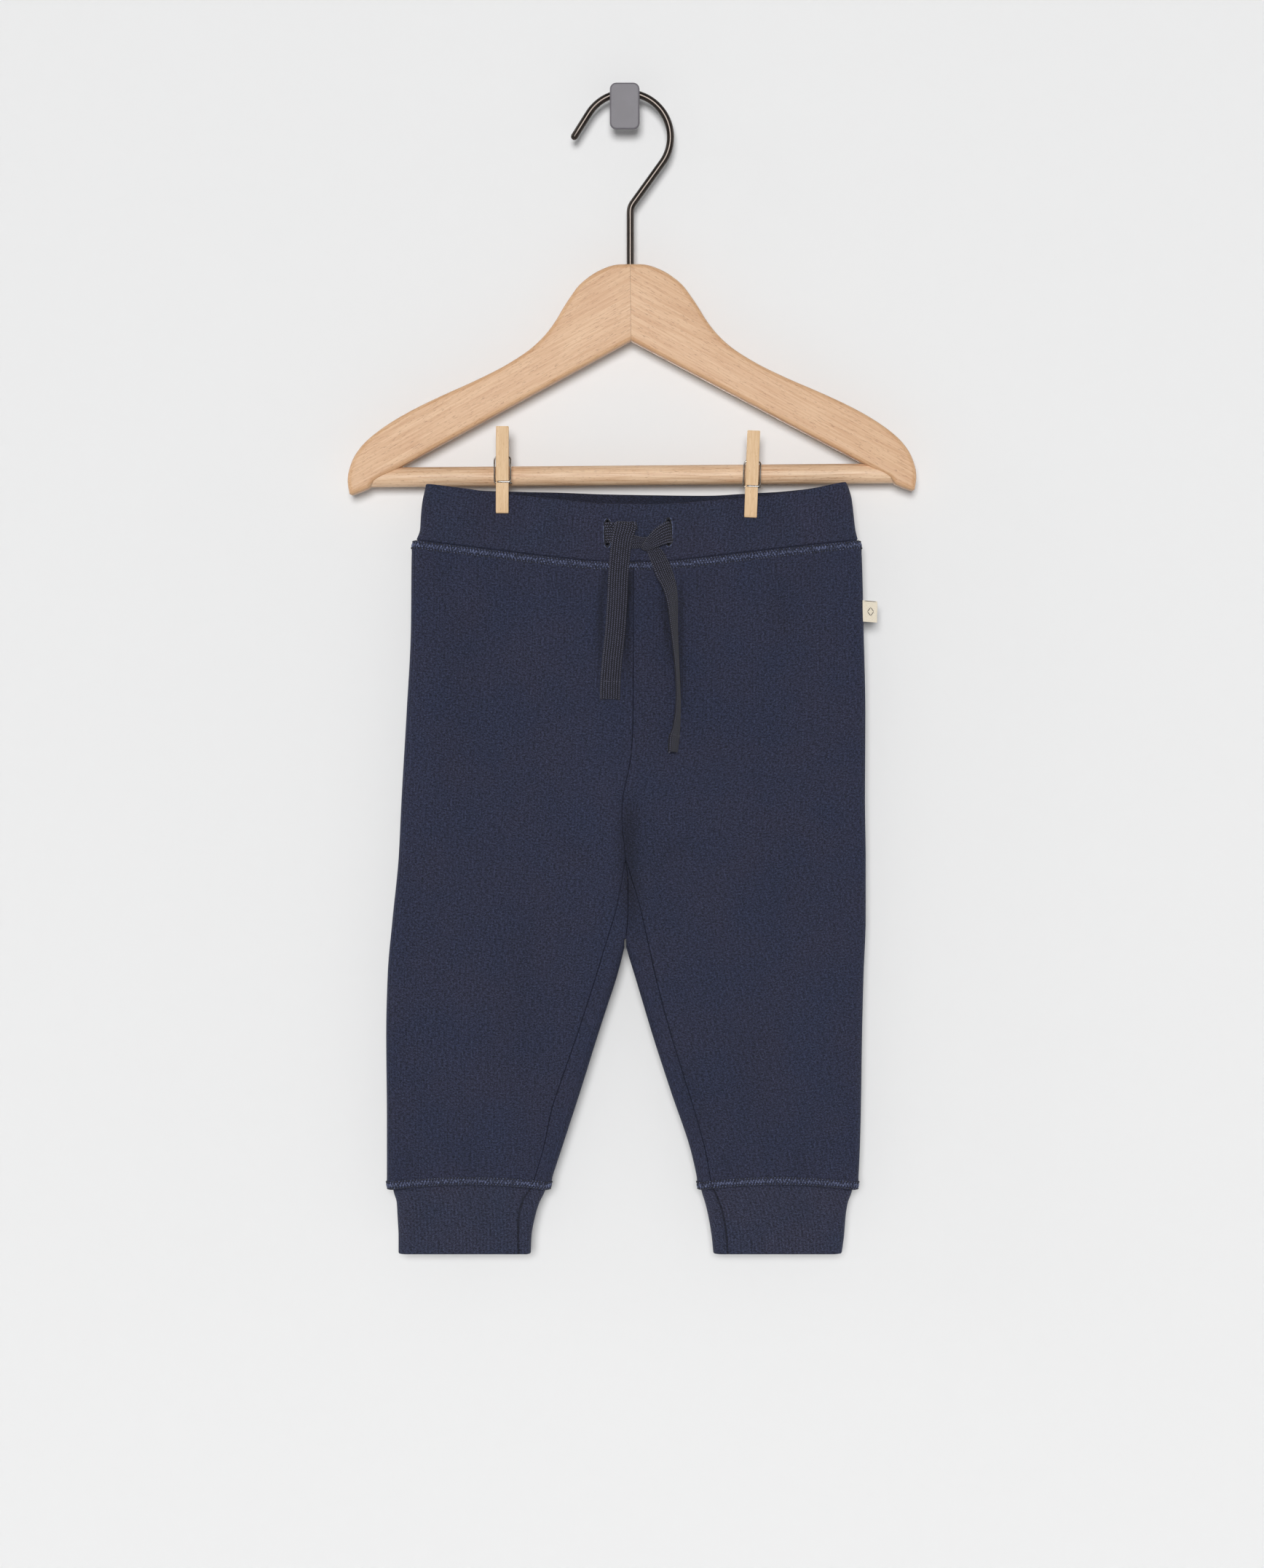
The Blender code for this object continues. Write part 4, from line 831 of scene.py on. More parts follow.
BODY_INNER = np.array([
    (-464.4, -0.4, -0.4), (-481.2, -4.8, 4.8), (-497.2, -10.0, 9.6), (-513.2, -15.2, 14.4),
    (-545.2, -25.2, 24.8), (-577.2, -35.6, 35.6), (-593.2, -40.8, 39.2), (-600.0, -42.6, 40.4)])
CENTRE_FRONT = np.array([
    (-241.0, 4.0), (-337.0, 4.0), (-358.4, 3.0), (-367.6, 1.6), (-378.4, -0.8), (-386.0, -2.0),
    (-396.0, -2.0), (-406.0, -1.2), (-417.2, 0.0), (-430.0, 1.2), (-447.0, 1.2), (-464.4, -0.4)])
CENTRE_BACK = np.array([(-241.0, 3.6), (-340.0, 3.2), (-464.4, -0.4)])
INSEAMS = np.array([
    (-417.2, -0.2, 0.2), (-430.0, -2.4, 3.8), (-444.0, -5.2, 7.9), (-464.0, -11.2, 12.4),
    (-486.4, -18.0, 17.5), (-508.8, -25.2, 23.4), (-532.0, -33.2, 30.5), (-553.2, -40.4, 37.0),
    (-577.2, -45.6, 43.6), (-599.2, -52.0, 47.4)])
# Creases: from (x, z) to (x, z), reach to each side, and height (troughs are negative)
FRONT_CREASES = [
    (3.4, -372, 6.6, -474, 5.2, -2.3), (15, -380, 19, -478, 13, -1.2), (-19, -318, -20, -470, 17, 1.7),
    (-77, -250, -101, -408, 13, -1.3), (-54, -432, -50, -556, 11, -1.0), (-108, -292, -119, -430, 9, 0.8),
    (-40, -262, -52, -330, 12, 0.6), (86, -256, 88, -304, 6, -0.6), (90, -388, 93, -460, 15, -0.9),
    (55, -258, 60, -338, 16, 0.8), (102, -470, 97, -572, 12, 0.8), (-90, -470, -98, -570, 12, 0.7),
    (44, -404, 10, -424, 4.5, -0.5), (-14, -424, -44, -400, 5.0, -0.45), (30, -520, 52, -578, 7, -0.6),
    (72, -500, 70, -580, 10, -0.7), (-70, -540, -74, -590, 8, 0.5), (14, -262, 30, -330, 9, -0.6),
    (3.4, -250, 2.6, -326, 3.2, -0.8), (-101, -250, -104, -272, 3.4, -0.4),
    (-88, -252, -90, -283, 4.2, 0.4), (-62, -255, -64, -276, 3.6, -0.35),
    (-47, -256, -46, -270, 2.9, 0.3), (-31, -258, -33, -282, 3.8, -0.35), (43, -257, 42, -279, 3.6, -0.35),
    (66, -254, 67, -270, 3.0, 0.3), (101, -250, 103, -276, 4.0, -0.4), (115, -248, 117, -268, 3.2, 0.35),
    (-118, -574, -117, -596, 3.6, -0.45), (-103, -581, -102, -597, 3.0, 0.4),
    (-84, -570, -86, -597, 4.0, -0.4), (-64, -583, -63, -597, 2.8, 0.35),
    (56, -576, 58, -597, 3.4, -0.45), (74, -584, 73, -597, 3.0, 0.35), (96, -572, 97, -597, 4.2, -0.4),
    (114, -580, 112, -597, 3.2, 0.4)]
# Painted shadows of the hanging tapes: the cloth's colour is darkened close beside them. These rows paint
# shade like creases and lift nothing.
TAPE_SHADOWS_PAINTED = [
    (4.4, -246, 1.2, -330, 2.2, -3.2), (-9.2, -246, -14.0, -328, 2.0, -2.8),
    (31.5, -254, 33.5, -352, 2.0, -2.8), (20.6, -262, 28.4, -322, 2.0, -2.6)]
BACK_CREASES = [
    (-2, -392, 2, -452, 8, -1.5), (-48, -284, -84, -396, 15, -1.5), (62, -292, 88, -404, 14, -1.4),
    (-22, -320, -30, -428, 16, 1.3), (26, -316, 34, -424, 15, 1.2), (-100, -300, -112, -420, 11, 0.9),
    (104, -292, 112, -410, 12, 0.9), (-60, -440, -66, -560, 12, -1.1), (66, -430, 64, -548, 13, -1.0),
    (-94, -462, -96, -566, 11, 0.8), (100, -470, 95, -574, 12, 0.8), (-12, -430, -52, -452, 5, -0.7),
    (12, -432, 46, -456, 5.5, -0.7), (-8, -412, -40, -398, 4.5, 0.5), (10, -408, 44, -392, 4.5, 0.5),
    (-98, -250, -100, -284, 4.4, -0.6), (-80, -250, -82, -272, 3.6, 0.5), (-56, -252, -54, -292, 5.0, -0.6),
    (-34, -253, -36, -276, 3.8, 0.45), (-15, -254, -16, -288, 4.4, -0.5), (18, -254, 19, -282, 4.0, -0.5),
    (37, -253, 38, -296, 4.8, 0.55), (60, -251, 58, -274, 3.8, -0.5), (82, -250, 84, -288, 4.6, 0.5),
    (106, -248, 108, -274, 4.0, -0.5), (-116, -572, -115, -597, 3.8, -0.5), (-98, -580, -97, -597, 3.2, 0.4),
    (-76, -568, -78, -597, 4.4, -0.5), (-58, -582, -57, -597, 3.0, 0.4), (60, -574, 62, -597, 3.6, -0.5),
    (80, -582, 79, -597, 3.2, 0.4), (102, -570, 103, -597, 4.4, -0.5), (117, -582, 116, -597, 3.0, 0.4)]
NEAR_SEAM = np.array([0.0, 0.1, 0.25, 0.45, 0.7, 1.1, 1.7, 2.5])
COLUMN = {-1: LEFT, 1: RIGHT}


def drooped(x, level, side, line):
    """Height on the cloth of a row: it follows the waist seam at the top and the cuff seam below."""
    across = (x - BAND_SIDES[-1, LEFT]) / (BAND_SIDES[-1, RIGHT] - BAND_SIDES[-1, LEFT])
    droop = read(WAIST, SEAM_LINE[line], across) - BODY_TOP
    outer = read(BODY_SIDES, COLUMN[side], level)
    inner = read(BODY_INNER, COLUMN[side], min(level, FORK))
    over_cuff = np.clip((x - min(outer, inner)) / abs(outer - inner), 0.0, 1.0)
    return (level + ease((level - (BODY_TOP - 110.0)) / 110.0) * droop
            + ease((BODY_BOTTOM + 40.0 - level) / 40.0) * CUFF_ARCH * np.sin(pi * over_cuff))


def allowance(level):
    """The lift over the seam allowances that are stitched down below the waist and above the cuffs."""
    below, above = BODY_TOP - level, level - BODY_BOTTOM
    return SEAM_ALLOWANCE_LIFT * (ease(below) * ease((6.6 - below) / 1.6)
                                  + ease(above) * ease((5.8 - above) / 1.6))


def face_row(x, level, side, face):
    """Points across the flat front or back of the body, creases and all."""
    line = "front" if face < 0 else "back"
    z = drooped(x, level, side, line)
    creases = FRONT_CREASES if face < 0 else BACK_CREASES
    y = CLOTH_DEPTH + face * (HALF_DEPTH + relief(creases, x, z) + allowance(level))
    return np.stack([x, y, z], axis=1)


def fold_row(edge, level, side, angles):
    """Points round one of a leg's folds, from front (positive angles) to back."""
    angles = np.asarray(angles)
    points = fold_points(edge, side, angles, level)
    inward_x, share = points[:, 0], np.abs(np.sin(angles)) ** 2
    lift = np.where(angles > 0, relief(FRONT_CREASES, inward_x, points[:, 2]),
                    relief(BACK_CREASES, inward_x, points[:, 2])) * share + allowance(level)
    points[:, 0] += side * lift * np.cos(angles)
    points[:, 1] -= lift * np.sin(angles)
    line_z = np.where(angles > 0, drooped(inward_x, level, side, "front"),
                      drooped(inward_x, level, side, "back"))
    points[:, 2] = level + (line_z - level) * share
    return points


def spread(start, end, count, near_start=True, near_end=True):
    """Places from start to end, close together beside the ends that are seams."""
    way = 1.0 if end > start else -1.0
    length = abs(end - start)
    low = NEAR_SEAM if near_start else np.array([0.0])
    high = length - NEAR_SEAM[::-1] if near_end else np.array([length])
    if length < 8.0:
        half = np.array([0.0, 0.02, 0.05, 0.1, 0.18, 0.3])
        shares = np.concatenate([half, np.linspace(0.38, 0.62, count // 3), 1 - half[::-1]])
        return start + way * length * shares
    inside = np.linspace(low[-1], high[0], count)[1:-1]
    return start + way * np.concatenate([low, inside, high])


def body_levels():
    """Heights of the body's rows: above the crotch, down to the saddle, round it, and down the legs."""
    top, bottom = BODY_TOP - WAIST_SEAM / 2, BODY_BOTTOM + PANEL_SEAM / 2
    upper = spread(top, CROTCH, int((top - CROTCH) / CELL), near_end=False)
    middle = np.linspace(CROTCH, FORK + SADDLE_RISE, 19)[1:]
    saddle = np.linspace(FORK + SADDLE_RISE, FORK - SADDLE_DROP, 8)[1:-1]
    lower = spread(FORK - SADDLE_DROP, bottom, int((FORK - SADDLE_DROP - bottom) / CELL),
                   near_start=False)
    return upper, middle, saddle, lower


def past_saddle(level, above, below):
    """Pass from one edge to another between the saddle's top and the first row of the legs."""
    share = np.clip((FORK + SADDLE_RISE - level) / (SADDLE_RISE + SADDLE_DROP), 0.0, 1.0)
    return above * (1 - share) + below * share


def front_row(level, side):
    """A front panel's row, from the centre seam or inseam round to the side seam."""
    seam = read(CENTRE_FRONT, 1, level) if level >= CROTCH else read(INSEAMS, COLUMN[side], level)
    outer = read(BODY_SIDES, COLUMN[side], level)
    xs = spread(seam + side * PANEL_SEAM / 2, outer - side * HALF_DEPTH, 46, near_end=False)
    stop = SIDE_SEAM_ANGLE[side] + SIDE_SEAM / 2 / HALF_DEPTH
    near = stop + NEAR_SEAM[::-1][1:] / HALF_DEPTH
    angles = np.concatenate([np.linspace(pi / 2, near[0], 6)[1:-1], near])
    return np.concatenate([face_row(xs, level, side, -1), fold_row(outer, level, side, angles)])


def back_row(level, side):
    """A back panel's row, from the side seam round the fold and over the back."""
    outer, inner = read(BODY_SIDES, COLUMN[side], level), read(BODY_INNER, COLUMN[side], level)
    start = SIDE_SEAM_ANGLE[side] - SIDE_SEAM / 2 / HALF_DEPTH
    near = start - NEAR_SEAM / HALF_DEPTH
    angles = np.concatenate([near, np.linspace(near[-1], -pi / 2, 9)[1:-1]])
    centre = read(CENTRE_BACK, 1, max(level, FORK)) + side * PANEL_SEAM / 2
    end = past_saddle(level, centre, inner + side * HALF_DEPTH)
    xs = spread(outer - side * HALF_DEPTH, end, 46, near_start=False)
    return np.concatenate([fold_row(outer, level, side, angles), face_row(xs, level, side, 1)])


def strip_row(level, side):
    """The back panel's strip on the front, from the centre or the inner fold out to the inseam."""
    seam = read(INSEAMS, COLUMN[side], level) - side * PANEL_SEAM / 2
    centre = read(CENTRE_FRONT, 1, max(level, FORK)) + side * STRIP_SEAM / 2
    inner = read(BODY_INNER, COLUMN[side], level) + side * HALF_DEPTH
    share = np.array([0.0, 0.02, 0.05, 0.1, 0.18, 0.3, 0.43, 0.57, 0.7, 0.82, 0.9, 0.95, 0.98, 1.0])
    start = past_saddle(level, centre, inner)
    return face_row(start + (seam - start) * share, level, side, -1)


def inner_fold_row(level, side, back_end, front_end):
    """The fold of a leg's inside, from its back to its front; it starts under the saddle."""
    angles = np.linspace(-pi / 2, pi / 2, 15)
    inner = read(BODY_INNER, COLUMN[side], min(level, FORK - SADDLE_DROP))
    leg = fold_row(inner, min(level, FORK - SADDLE_DROP), -side, angles)
    leg[:, 0] = inner + side * HALF_DEPTH * (1 - np.cos(angles)) - side * allowance(level) * np.cos(angles)
    centre = read(CENTRE_BACK, 1, FORK) + side * SADDLE_SEAM / 2
    saddle = np.stack([np.full(len(angles), centre), CLOTH_DEPTH - HALF_DEPTH * np.sin(angles),
                       FORK + SADDLE_RISE - SADDLE_RISE * np.cos(angles)], axis=1)
    points = past_saddle(level, saddle, leg)
    points[0], points[-1] = back_end, front_end
    return points


def in_order(rows, side):
    """Put a panel's rows so that its outer face looks out on either side."""
    points = np.array(rows)
    return points[:, ::-1] if side < 0 else points


jersey = knitted("navy_sweat_jersey", "#252a40", "#292b3f", "#454d68", 0.8, 0.12)
upper, middle, saddle, lower = body_levels()
for name, side in (("left", -1), ("right", 1)):
    levels = np.concatenate([upper, middle, saddle, lower])
    panel = in_order([front_row(level, side) for level in levels], side)
    # The fronts also get the painted shadows beside the tapes.
    front = cloth_piece(f"front_{name}_jersey", [(panel, flat_places(panel), False)], BODY_WALL, jersey,
                        "jersey", [f"front_{name}"], rounding=SEAM_ROUNDING,
                        creases=(FRONT_CREASES + TAPE_SHADOWS_PAINTED, BACK_CREASES))

    main = [back_row(level, side) for level in levels]
    strip = [strip_row(level, side)
             for level in np.concatenate([[CROTCH - STRIP_TIP], middle[middle < CROTCH - STRIP_TIP - 1],
                                          saddle, lower])]
    legs = np.concatenate([[FORK + SADDLE_RISE], saddle, lower])
    fold = [inner_fold_row(level, side, main[i - len(legs)][-1], strip[i - len(legs)][0])
            for i, level in enumerate(legs)]
    grids = []
    for rows in (main, strip, fold):
        points = in_order(rows, side)
        grids.append((points, flat_places(points), False))
    back = cloth_piece(f"back_{name}_jersey", grids, BODY_WALL, jersey, "jersey", [f"back_{name}"],
                       rounding=SEAM_ROUNDING, creases=(FRONT_CREASES, BACK_CREASES))


# ---------------------------------------------------------------- Cuffs
# Tubes of doubled cotton rib, narrower than the legs they close, each with one seam near the inside leg
# and a plain folded hem. Their top edges are turned in under the legs.
CUFF_WALL = 2.0
CUFF_HEM = -634.2
CUFF_TUCK = 1.75
CUFF_SIDES = np.array([
    (-598.0, -128.4, 124.8), (-601.2, -127.6, 124.0), (-606.0, -126.2, 122.2), (-613.0, -125.8, 121.0),
    (-625.0, -125.2, 120.0), (-635.0, -125.2, 118.6)])
CUFF_INNER = np.array([
    (-598.0, -44.0, 41.2), (-601.2, -45.2, 42.0), (-606.0, -47.6, 43.5), (-613.0, -49.8, 45.2),
    (-625.0, -52.0, 47.2), (-635.0, -52.4, 48.2)])
CUFF_SEAMS = np.array([
    (-598.4, -52.4, 48.0), (-603.6, -56.2, 50.4), (-612.4, -58.8, 53.4), (-623.6, -59.2, 55.2),
    (-634.4, -58.8, 56.0)])
CUFF_SEAM_DIP = np.array([(0.0, 0.55), (0.35, 0.42), (0.8, 0.16), (1.4, 0.0)])
CUFF_CREASES = {"front": [
    (-112, -601, -113, -626, 4, -0.3), (-95, -600, -96, -618, 5, 0.3), (-78, -602, -76, -628, 5, -0.3),
    (76.4, -622, 76.6, -640, 0.9, -0.5), (79, -620, 79, -640, 2.4, 0.4), (96, -601, 97, -624, 5, -0.3),
    (110, -602, 108, -628, 4, 0.3), (64, -602, 66, -624, 4, 0.25)], "back": [
    (-108, -601, -110, -628, 4, -0.4), (-86, -600, -84, -622, 5, 0.35), (-68, -602, -69, -630, 4, -0.35),
    (60, -601, 62, -628, 4, -0.4), (82, -600, 80, -620, 5, 0.35), (104, -602, 106, -630, 4, -0.4)]}


def cuff_grid(side):
    """A cuff's outer face, ring under ring, from its tucked top to its hem."""
    drop = CUFF_HEM - BODY_BOTTOM
    rows = []
    for part in np.concatenate([[-0.075, -0.05, -0.028, -0.008], np.linspace(0.0, 0.94, 26),
                                [0.962, 0.978, 0.988, 0.995, 1.0]]):
        level = (BODY_BOTTOM - PANEL_SEAM / 2) + (drop + PANEL_SEAM / 2) * part
        tuck = CUFF_TUCK * ease(-part / 0.03)
        outer = read(CUFF_SIDES, COLUMN[side], level)
        inner = read(CUFF_INNER, COLUMN[side], level)
        low, high = min(outer, inner), max(outer, inner)
        seam = read(CUFF_SEAMS, COLUMN[side], level)
        depth = HALF_DEPTH - tuck
        near = np.array([-2.4, -1.4, -0.8, -0.35, 0.0, 0.35, 0.8, 1.4, 2.4])

        def at_height(x):
            across = np.clip((x - low) / (high - low), 0.0, 1.0)
            return level + CUFF_ARCH * np.sin(pi * across) * max(1 - max(part, 0.0), 0.0) ** 2

        if side < 0:
            xs = np.concatenate([np.linspace(low + HALF_DEPTH, seam - 3.6, 34), seam + near,
                                 np.linspace(seam + 3.4, max(high - HALF_DEPTH, seam + 3.6), 4)])
        else:
            xs = np.concatenate([np.linspace(min(low + HALF_DEPTH, seam - 3.6), seam - 3.4, 4),
                                 seam + near, np.linspace(seam + 3.6, high - HALF_DEPTH, 34)])
        dip = np.interp(abs(xs - seam), CUFF_SEAM_DIP[:, 0], CUFF_SEAM_DIP[:, 1])
        z = at_height(xs)
        y = CLOTH_DEPTH - depth - relief(CUFF_CREASES["front"], xs, z) + dip
        row = [np.stack([xs, y, z], axis=1)]
        turn = np.linspace(pi / 2, -pi / 2, 13)[1:-1]
        for edge, way, start in ((high, 1, xs[-1]), (low, -1, xs[0])):
            angles = turn if way > 0 else turn[::-1]
            reach = abs(edge - start)
            x = edge - way * (tuck + (reach - tuck) * (1 - np.cos(angles)))
            z = at_height(np.full_like(x, edge))
            fold = np.stack([x, CLOTH_DEPTH - depth * np.sin(angles), z], axis=1)
            row.append(fold)
            if way > 0:
                backs = np.linspace(xs[-1], xs[0], 40)
                z = at_height(backs)
                y = CLOTH_DEPTH + depth + relief(CUFF_CREASES["back"], backs, z)
                row.append(np.stack([backs, y, z], axis=1))
        rows.append(np.concatenate(row))
    return np.array(rows)


cuff_rib = knitted("navy_cotton_rib_cuff", "#2b3045", "#303144", "#4a526d", 0.95, 0.26)
for name, side in (("left", -1), ("right", 1)):
    points = cuff_grid(side)
    # The cuff's seam gets a line of painted shade in the cloth's colour.
    cuff = cloth_piece(f"cuff_{name}_rib", [(points, flat_places(points, True), True)], CUFF_WALL, cuff_rib,
                       "rib", [f"cuff_{name}"], rounding=0.9,
                       creases=(CUFF_CREASES["front"], CUFF_CREASES["back"]),
                       seam=lambda z: read(CUFF_SEAMS, COLUMN[side], z))


# ---------------------------------------------------------------- Cover stitches
# Two needle rows joined by a zigzag looper thread hold the seam allowances flat below the waist and
# above each cuff. The threads are a lighter blue than the cloth and sink into small needle holes, whose
# dark thread tubes are painted shade.
STITCH = 1.6
NEEDLE_ROWS = (0.9, 4.4)
NEEDLE_THREAD = 0.2
LOOPER_THREAD = 0.27
HOLE_RADIUS = 0.62


def unit(vectors):
    """Each vector at a length of one."""
    return vectors / np.maximum(np.linalg.norm(vectors, axis=-1, keepdims=True), 1e-9)


def threads(paths, outward, radius, sides=5, closed=False):
    """Round threads along many paths at once; loose ends taper to a point inside the cloth."""
    count, length = paths.shape[:2]
    if closed:
        along = unit(np.roll(paths, -1, axis=1) - np.roll(paths, 1, axis=1))
        radii = np.full(length, radius)
    else:
        along = unit(np.gradient(paths, axis=1))
        radii = radius * np.concatenate([[0.25], np.ones(length - 2), [0.25]])
    across = unit(np.cross(along, outward))
    up = np.cross(across, along)
    angles = 2 * pi * np.arange(sides) / sides
    verts = (paths[:, :, None] + radii[None, :, None, None]
             * (across[:, :, None] * np.cos(angles)[:, None] + up[:, :, None] * np.sin(angles)[:, None]))
    base = (np.arange(count) * length * sides)[:, None, None]
    rows = np.arange(length if closed else length - 1)[None, :, None]
    turn = np.arange(sides)[None, None, :]
    low, high = base + rows * sides, base + (rows + 1) % length * sides
    after = (turn + 1) % sides
    quads = np.stack(np.broadcast_arrays(low + turn, low + after, high + after, high + turn), axis=-1)
    faces = quads.reshape(-1, 4).tolist()
    if not closed:
        for start in (np.arange(count) * length * sides).tolist():
            faces.append(list(range(start, start + sides))[::-1])
            last = start + (length - 1) * sides
            faces.append(list(range(last, last + sides)))
    return verts.reshape(-1, 3), faces


def joined(name, parts):
    """One mesh from several lots of points and faces."""
    verts, faces, start = [], [], 0
    for points, polygons in parts:
        verts.append(np.asarray(points, float))
        faces += [[i + start for i in polygon] for polygon in polygons]
        start += len(points)
    return mesh_of(name, np.concatenate(verts), faces)


def waist_ring(level):
    """The body's outline at a height, all round."""
    return np.concatenate([front_row(level, -1)[::-1], front_row(level, 1), back_row(level, 1),
                           back_row(level, -1)[::-1]])


def leg_ring(level, side):
    """One leg's outline at a height, all round."""
    back, strip = back_row(level, side), strip_row(level, side)
    fold = inner_fold_row(level, side, back[-1], strip[0])
    ring = np.concatenate([front_row(level, side), back, fold[1:-1], strip])
    return ring if side > 0 else ring[::-1]


def stitched(name, ring_at, stitches_of):
    """Needle dashes, dark tubes at their holes as painted shade, and the looper's zigzag, all round one seam.
    """
    first, last = ring_at(NEEDLE_ROWS[0]), ring_at(NEEDLE_ROWS[1])
    loop = np.concatenate([first, first[:1]])
    way = way_along(loop)
    other = np.concatenate([last, last[:1]])
    count = int(way[-1] / STITCH)
    pitch = way[-1] / count

    def at(place, share, lift):
        place = np.mod(place, way[-1])
        near = np.stack([np.interp(place, way, loop[:, k]) for k in range(3)], axis=-1)
        far = np.stack([np.interp(place, way, other[:, k]) for k in range(3)], axis=-1)
        ahead = np.mod(place + 0.4, way[-1])
        ahead = np.stack([np.interp(ahead, way, loop[:, k]) for k in range(3)], axis=-1)
        along = unit(ahead - near)
        out = unit(np.cross(unit(far - near) * stitches_of, along))
        return near + (far - near) * share[..., None] + out * lift[..., None], out

    starts = np.arange(count)[:, None] * pitch
    light, dark = [], []
    for share in (0.0, 1.0):
        steps = np.array([0.0, 0.18, 0.5, 0.82, 1.0])
        lifts = np.broadcast_to(np.array([-0.2, 0.12, 0.2, 0.12, -0.2]), (count, 5))
        paths, out = at(starts + 0.62 + steps * (pitch - 0.74), np.full((count, 5), share), lifts)
        light.append(threads(paths, out, NEEDLE_THREAD))
        lifts = np.broadcast_to(np.array([-0.1, 0.0, -0.1]), (count, 3))
        paths, out = at(starts - 0.05 + np.array([0.0, 0.34, 0.68]), np.full((count, 3), share), lifts)
        dark.append(threads(paths, out, HOLE_RADIUS))
    shares = np.array([0.2, 0.44, 0.74, 0.82, 0.6, 0.3, 0.16])
    steps = np.array([0.0, 0.12, 0.3, 0.5, 0.62, 0.82, 0.93])
    lifts = np.array([0.16, 0.3, 0.18, 0.16, 0.3, 0.2, 0.14])
    places = (starts + steps * pitch).reshape(1, -1)
    paths, out = at(places, np.tile(shares, count)[None], np.tile(lifts, count)[None])
    light.append(threads(paths, out, LOOPER_THREAD, closed=True))
    return joined(f"{name}_threads", light), joined(f"{name}_holes", dark)


def sewing_thread(name, code, shade):
    """Spun polyester thread: a fine twist that is a little glossier than the knit round it. Also used, in
    near-black tones, for the painted shade in needle holes and buttonhole slits.
    """
    made, tree, shader = new_material(name, Roughness=0.7, IOR=1.5, Sheen_Weight=0.1)
    twist = noise(tree, node(tree, "ShaderNodeTexCoord").outputs["Object"], 900.0)
    surface(tree, shader, blended(tree, ranged(tree, twist, 0.42, 0.6), shade, code))
    return made


seam_thread = sewing_thread("blue_polyester_thread", "#626b8e", "#1c2031")
# Painted shade: near-black thread tubes stand for the shade in the needle holes and in the buttonholes'
# slits.
painted_hole_shade = sewing_thread("painted_shade_in_needle_holes", "#15161f", "#0d0e14")
for name, ring_at, way in (
        ("waist", lambda down: waist_ring(BODY_TOP - WAIST_SEAM / 2 - down), 1),
        ("ankle_left", lambda up: leg_ring(BODY_BOTTOM + PANEL_SEAM / 2 + up, -1), -1),
        ("ankle_right", lambda up: leg_ring(BODY_BOTTOM + PANEL_SEAM / 2 + up, 1), -1)):
    light, dark = stitched(name, ring_at, way)
    show(f"{name}_stitches", light, seam_thread, "jersey")
    show(f"{name}_needle_hole_shade", dark, painted_hole_shade, "jersey")

# A satin-stitched ring round each buttonhole, raised a little above the rib, and inside it a dark ring along
# the slit's lip that is painted shade.
for name, (hole_x, hole_z) in zip(("left", "right"), BUTTONHOLES):
    turn = np.linspace(0, 2 * pi, 73)[:-1]
    open_share = np.sign(np.cos(turn)) * np.minimum(abs(np.cos(turn)) * 2.2, 1)
    for part, out_by, radius, thread in (("ring", 0.75, 0.22, seam_thread), ("lip_painted_shade", 0.2, 0.34, painted_hole_shade)):
        z = hole_z + (BUTTONHOLE_HALF_LENGTH + out_by) * np.sin(turn)
        x = hole_x + (BUTTONHOLE_HALF_WIDTH * abs(np.cos(turn)) + out_by) * open_share
        y = CLOTH_DEPTH - HALF_DEPTH - relief(BAND_FRONT_CREASES, x, z) - 0.12
        path = np.stack([x, y, z], axis=1)[None]
        out = np.broadcast_to(np.array([0.0, -1.0, 0.0]), path.shape)
        show(f"buttonhole_{name}_{part}", joined(part, [threads(path, out, radius, closed=True)]), thread,
             "rib")


# ---------------------------------------------------------------- Drawstring
# One 11 mm herringbone cotton tape runs inside the waistband. It leaves by the two buttonholes and is
# crossed in a loose half knot, and both its ends hang free, each turned up and stitched across.
TAPE_WIDTH = 11.0
TAPE_HALF_THICKNESS = 0.62
# Middle line: x, height, gap from the cloth to the middle of the tape, turn from lying flat, width
LEFT_TAPE = [
    (0.6, -236.4, 1.0, 0, 11.0), (0.5, -234.0, 1.2, 0, 11.4), (0.2, -232.6, 2.3, 0, 10.6),
    (-0.1, -233.5, 3.4, 0, 11.8), (-0.7, -236.0, 3.5, 0, 11.6), (-2.2, -241.5, 3.2, 0, 11.0),
    (-3.4, -252.0, 2.6, -2, 11.0), (-4.2, -262.0, 1.9, -3, 11.0), (-4.8, -276.0, 1.4, 2, 11.0),
    (-5.9, -292.0, 1.25, 4, 11.0), (-7.5, -307.0, 1.25, 3, 11.0), (-8.5, -319.5, 1.5, 0, 11.0),
    (-8.8, -329.2, 1.9, -2, 11.0)]
RIGHT_TAPE = [
    (12.4, -244.4, 1.2, -4, 5.0), (14.6, -246.8, 1.25, -8, 6.6), (16.7, -250.0, 1.4, -12, 8.4),
    (19.0, -255.0, 2.2, -20, 9.8), (21.2, -260.6, 3.3, -30, 10.8), (23.4, -265.8, 4.3, -42, 11.0),
    (24.8, -271.0, 5.0, -50, 11.0), (25.7, -277.5, 5.5, -58, 11.0), (26.1, -284.0, 5.8, -64, 11.0),
    (26.7, -293.0, 6.0, -70, 11.0), (27.5, -303.0, 6.1, -75, 11.0), (28.2, -313.5, 6.2, -79, 11.0),
    (28.7, -324.5, 6.2, -79, 11.0), (28.6, -335.0, 6.2, -76, 11.0), (27.6, -345.4, 6.1, -68, 11.0),
    (26.5, -350.5, 6.0, -60, 11.0), (25.8, -358.2, 6.0, -64, 11.0)]
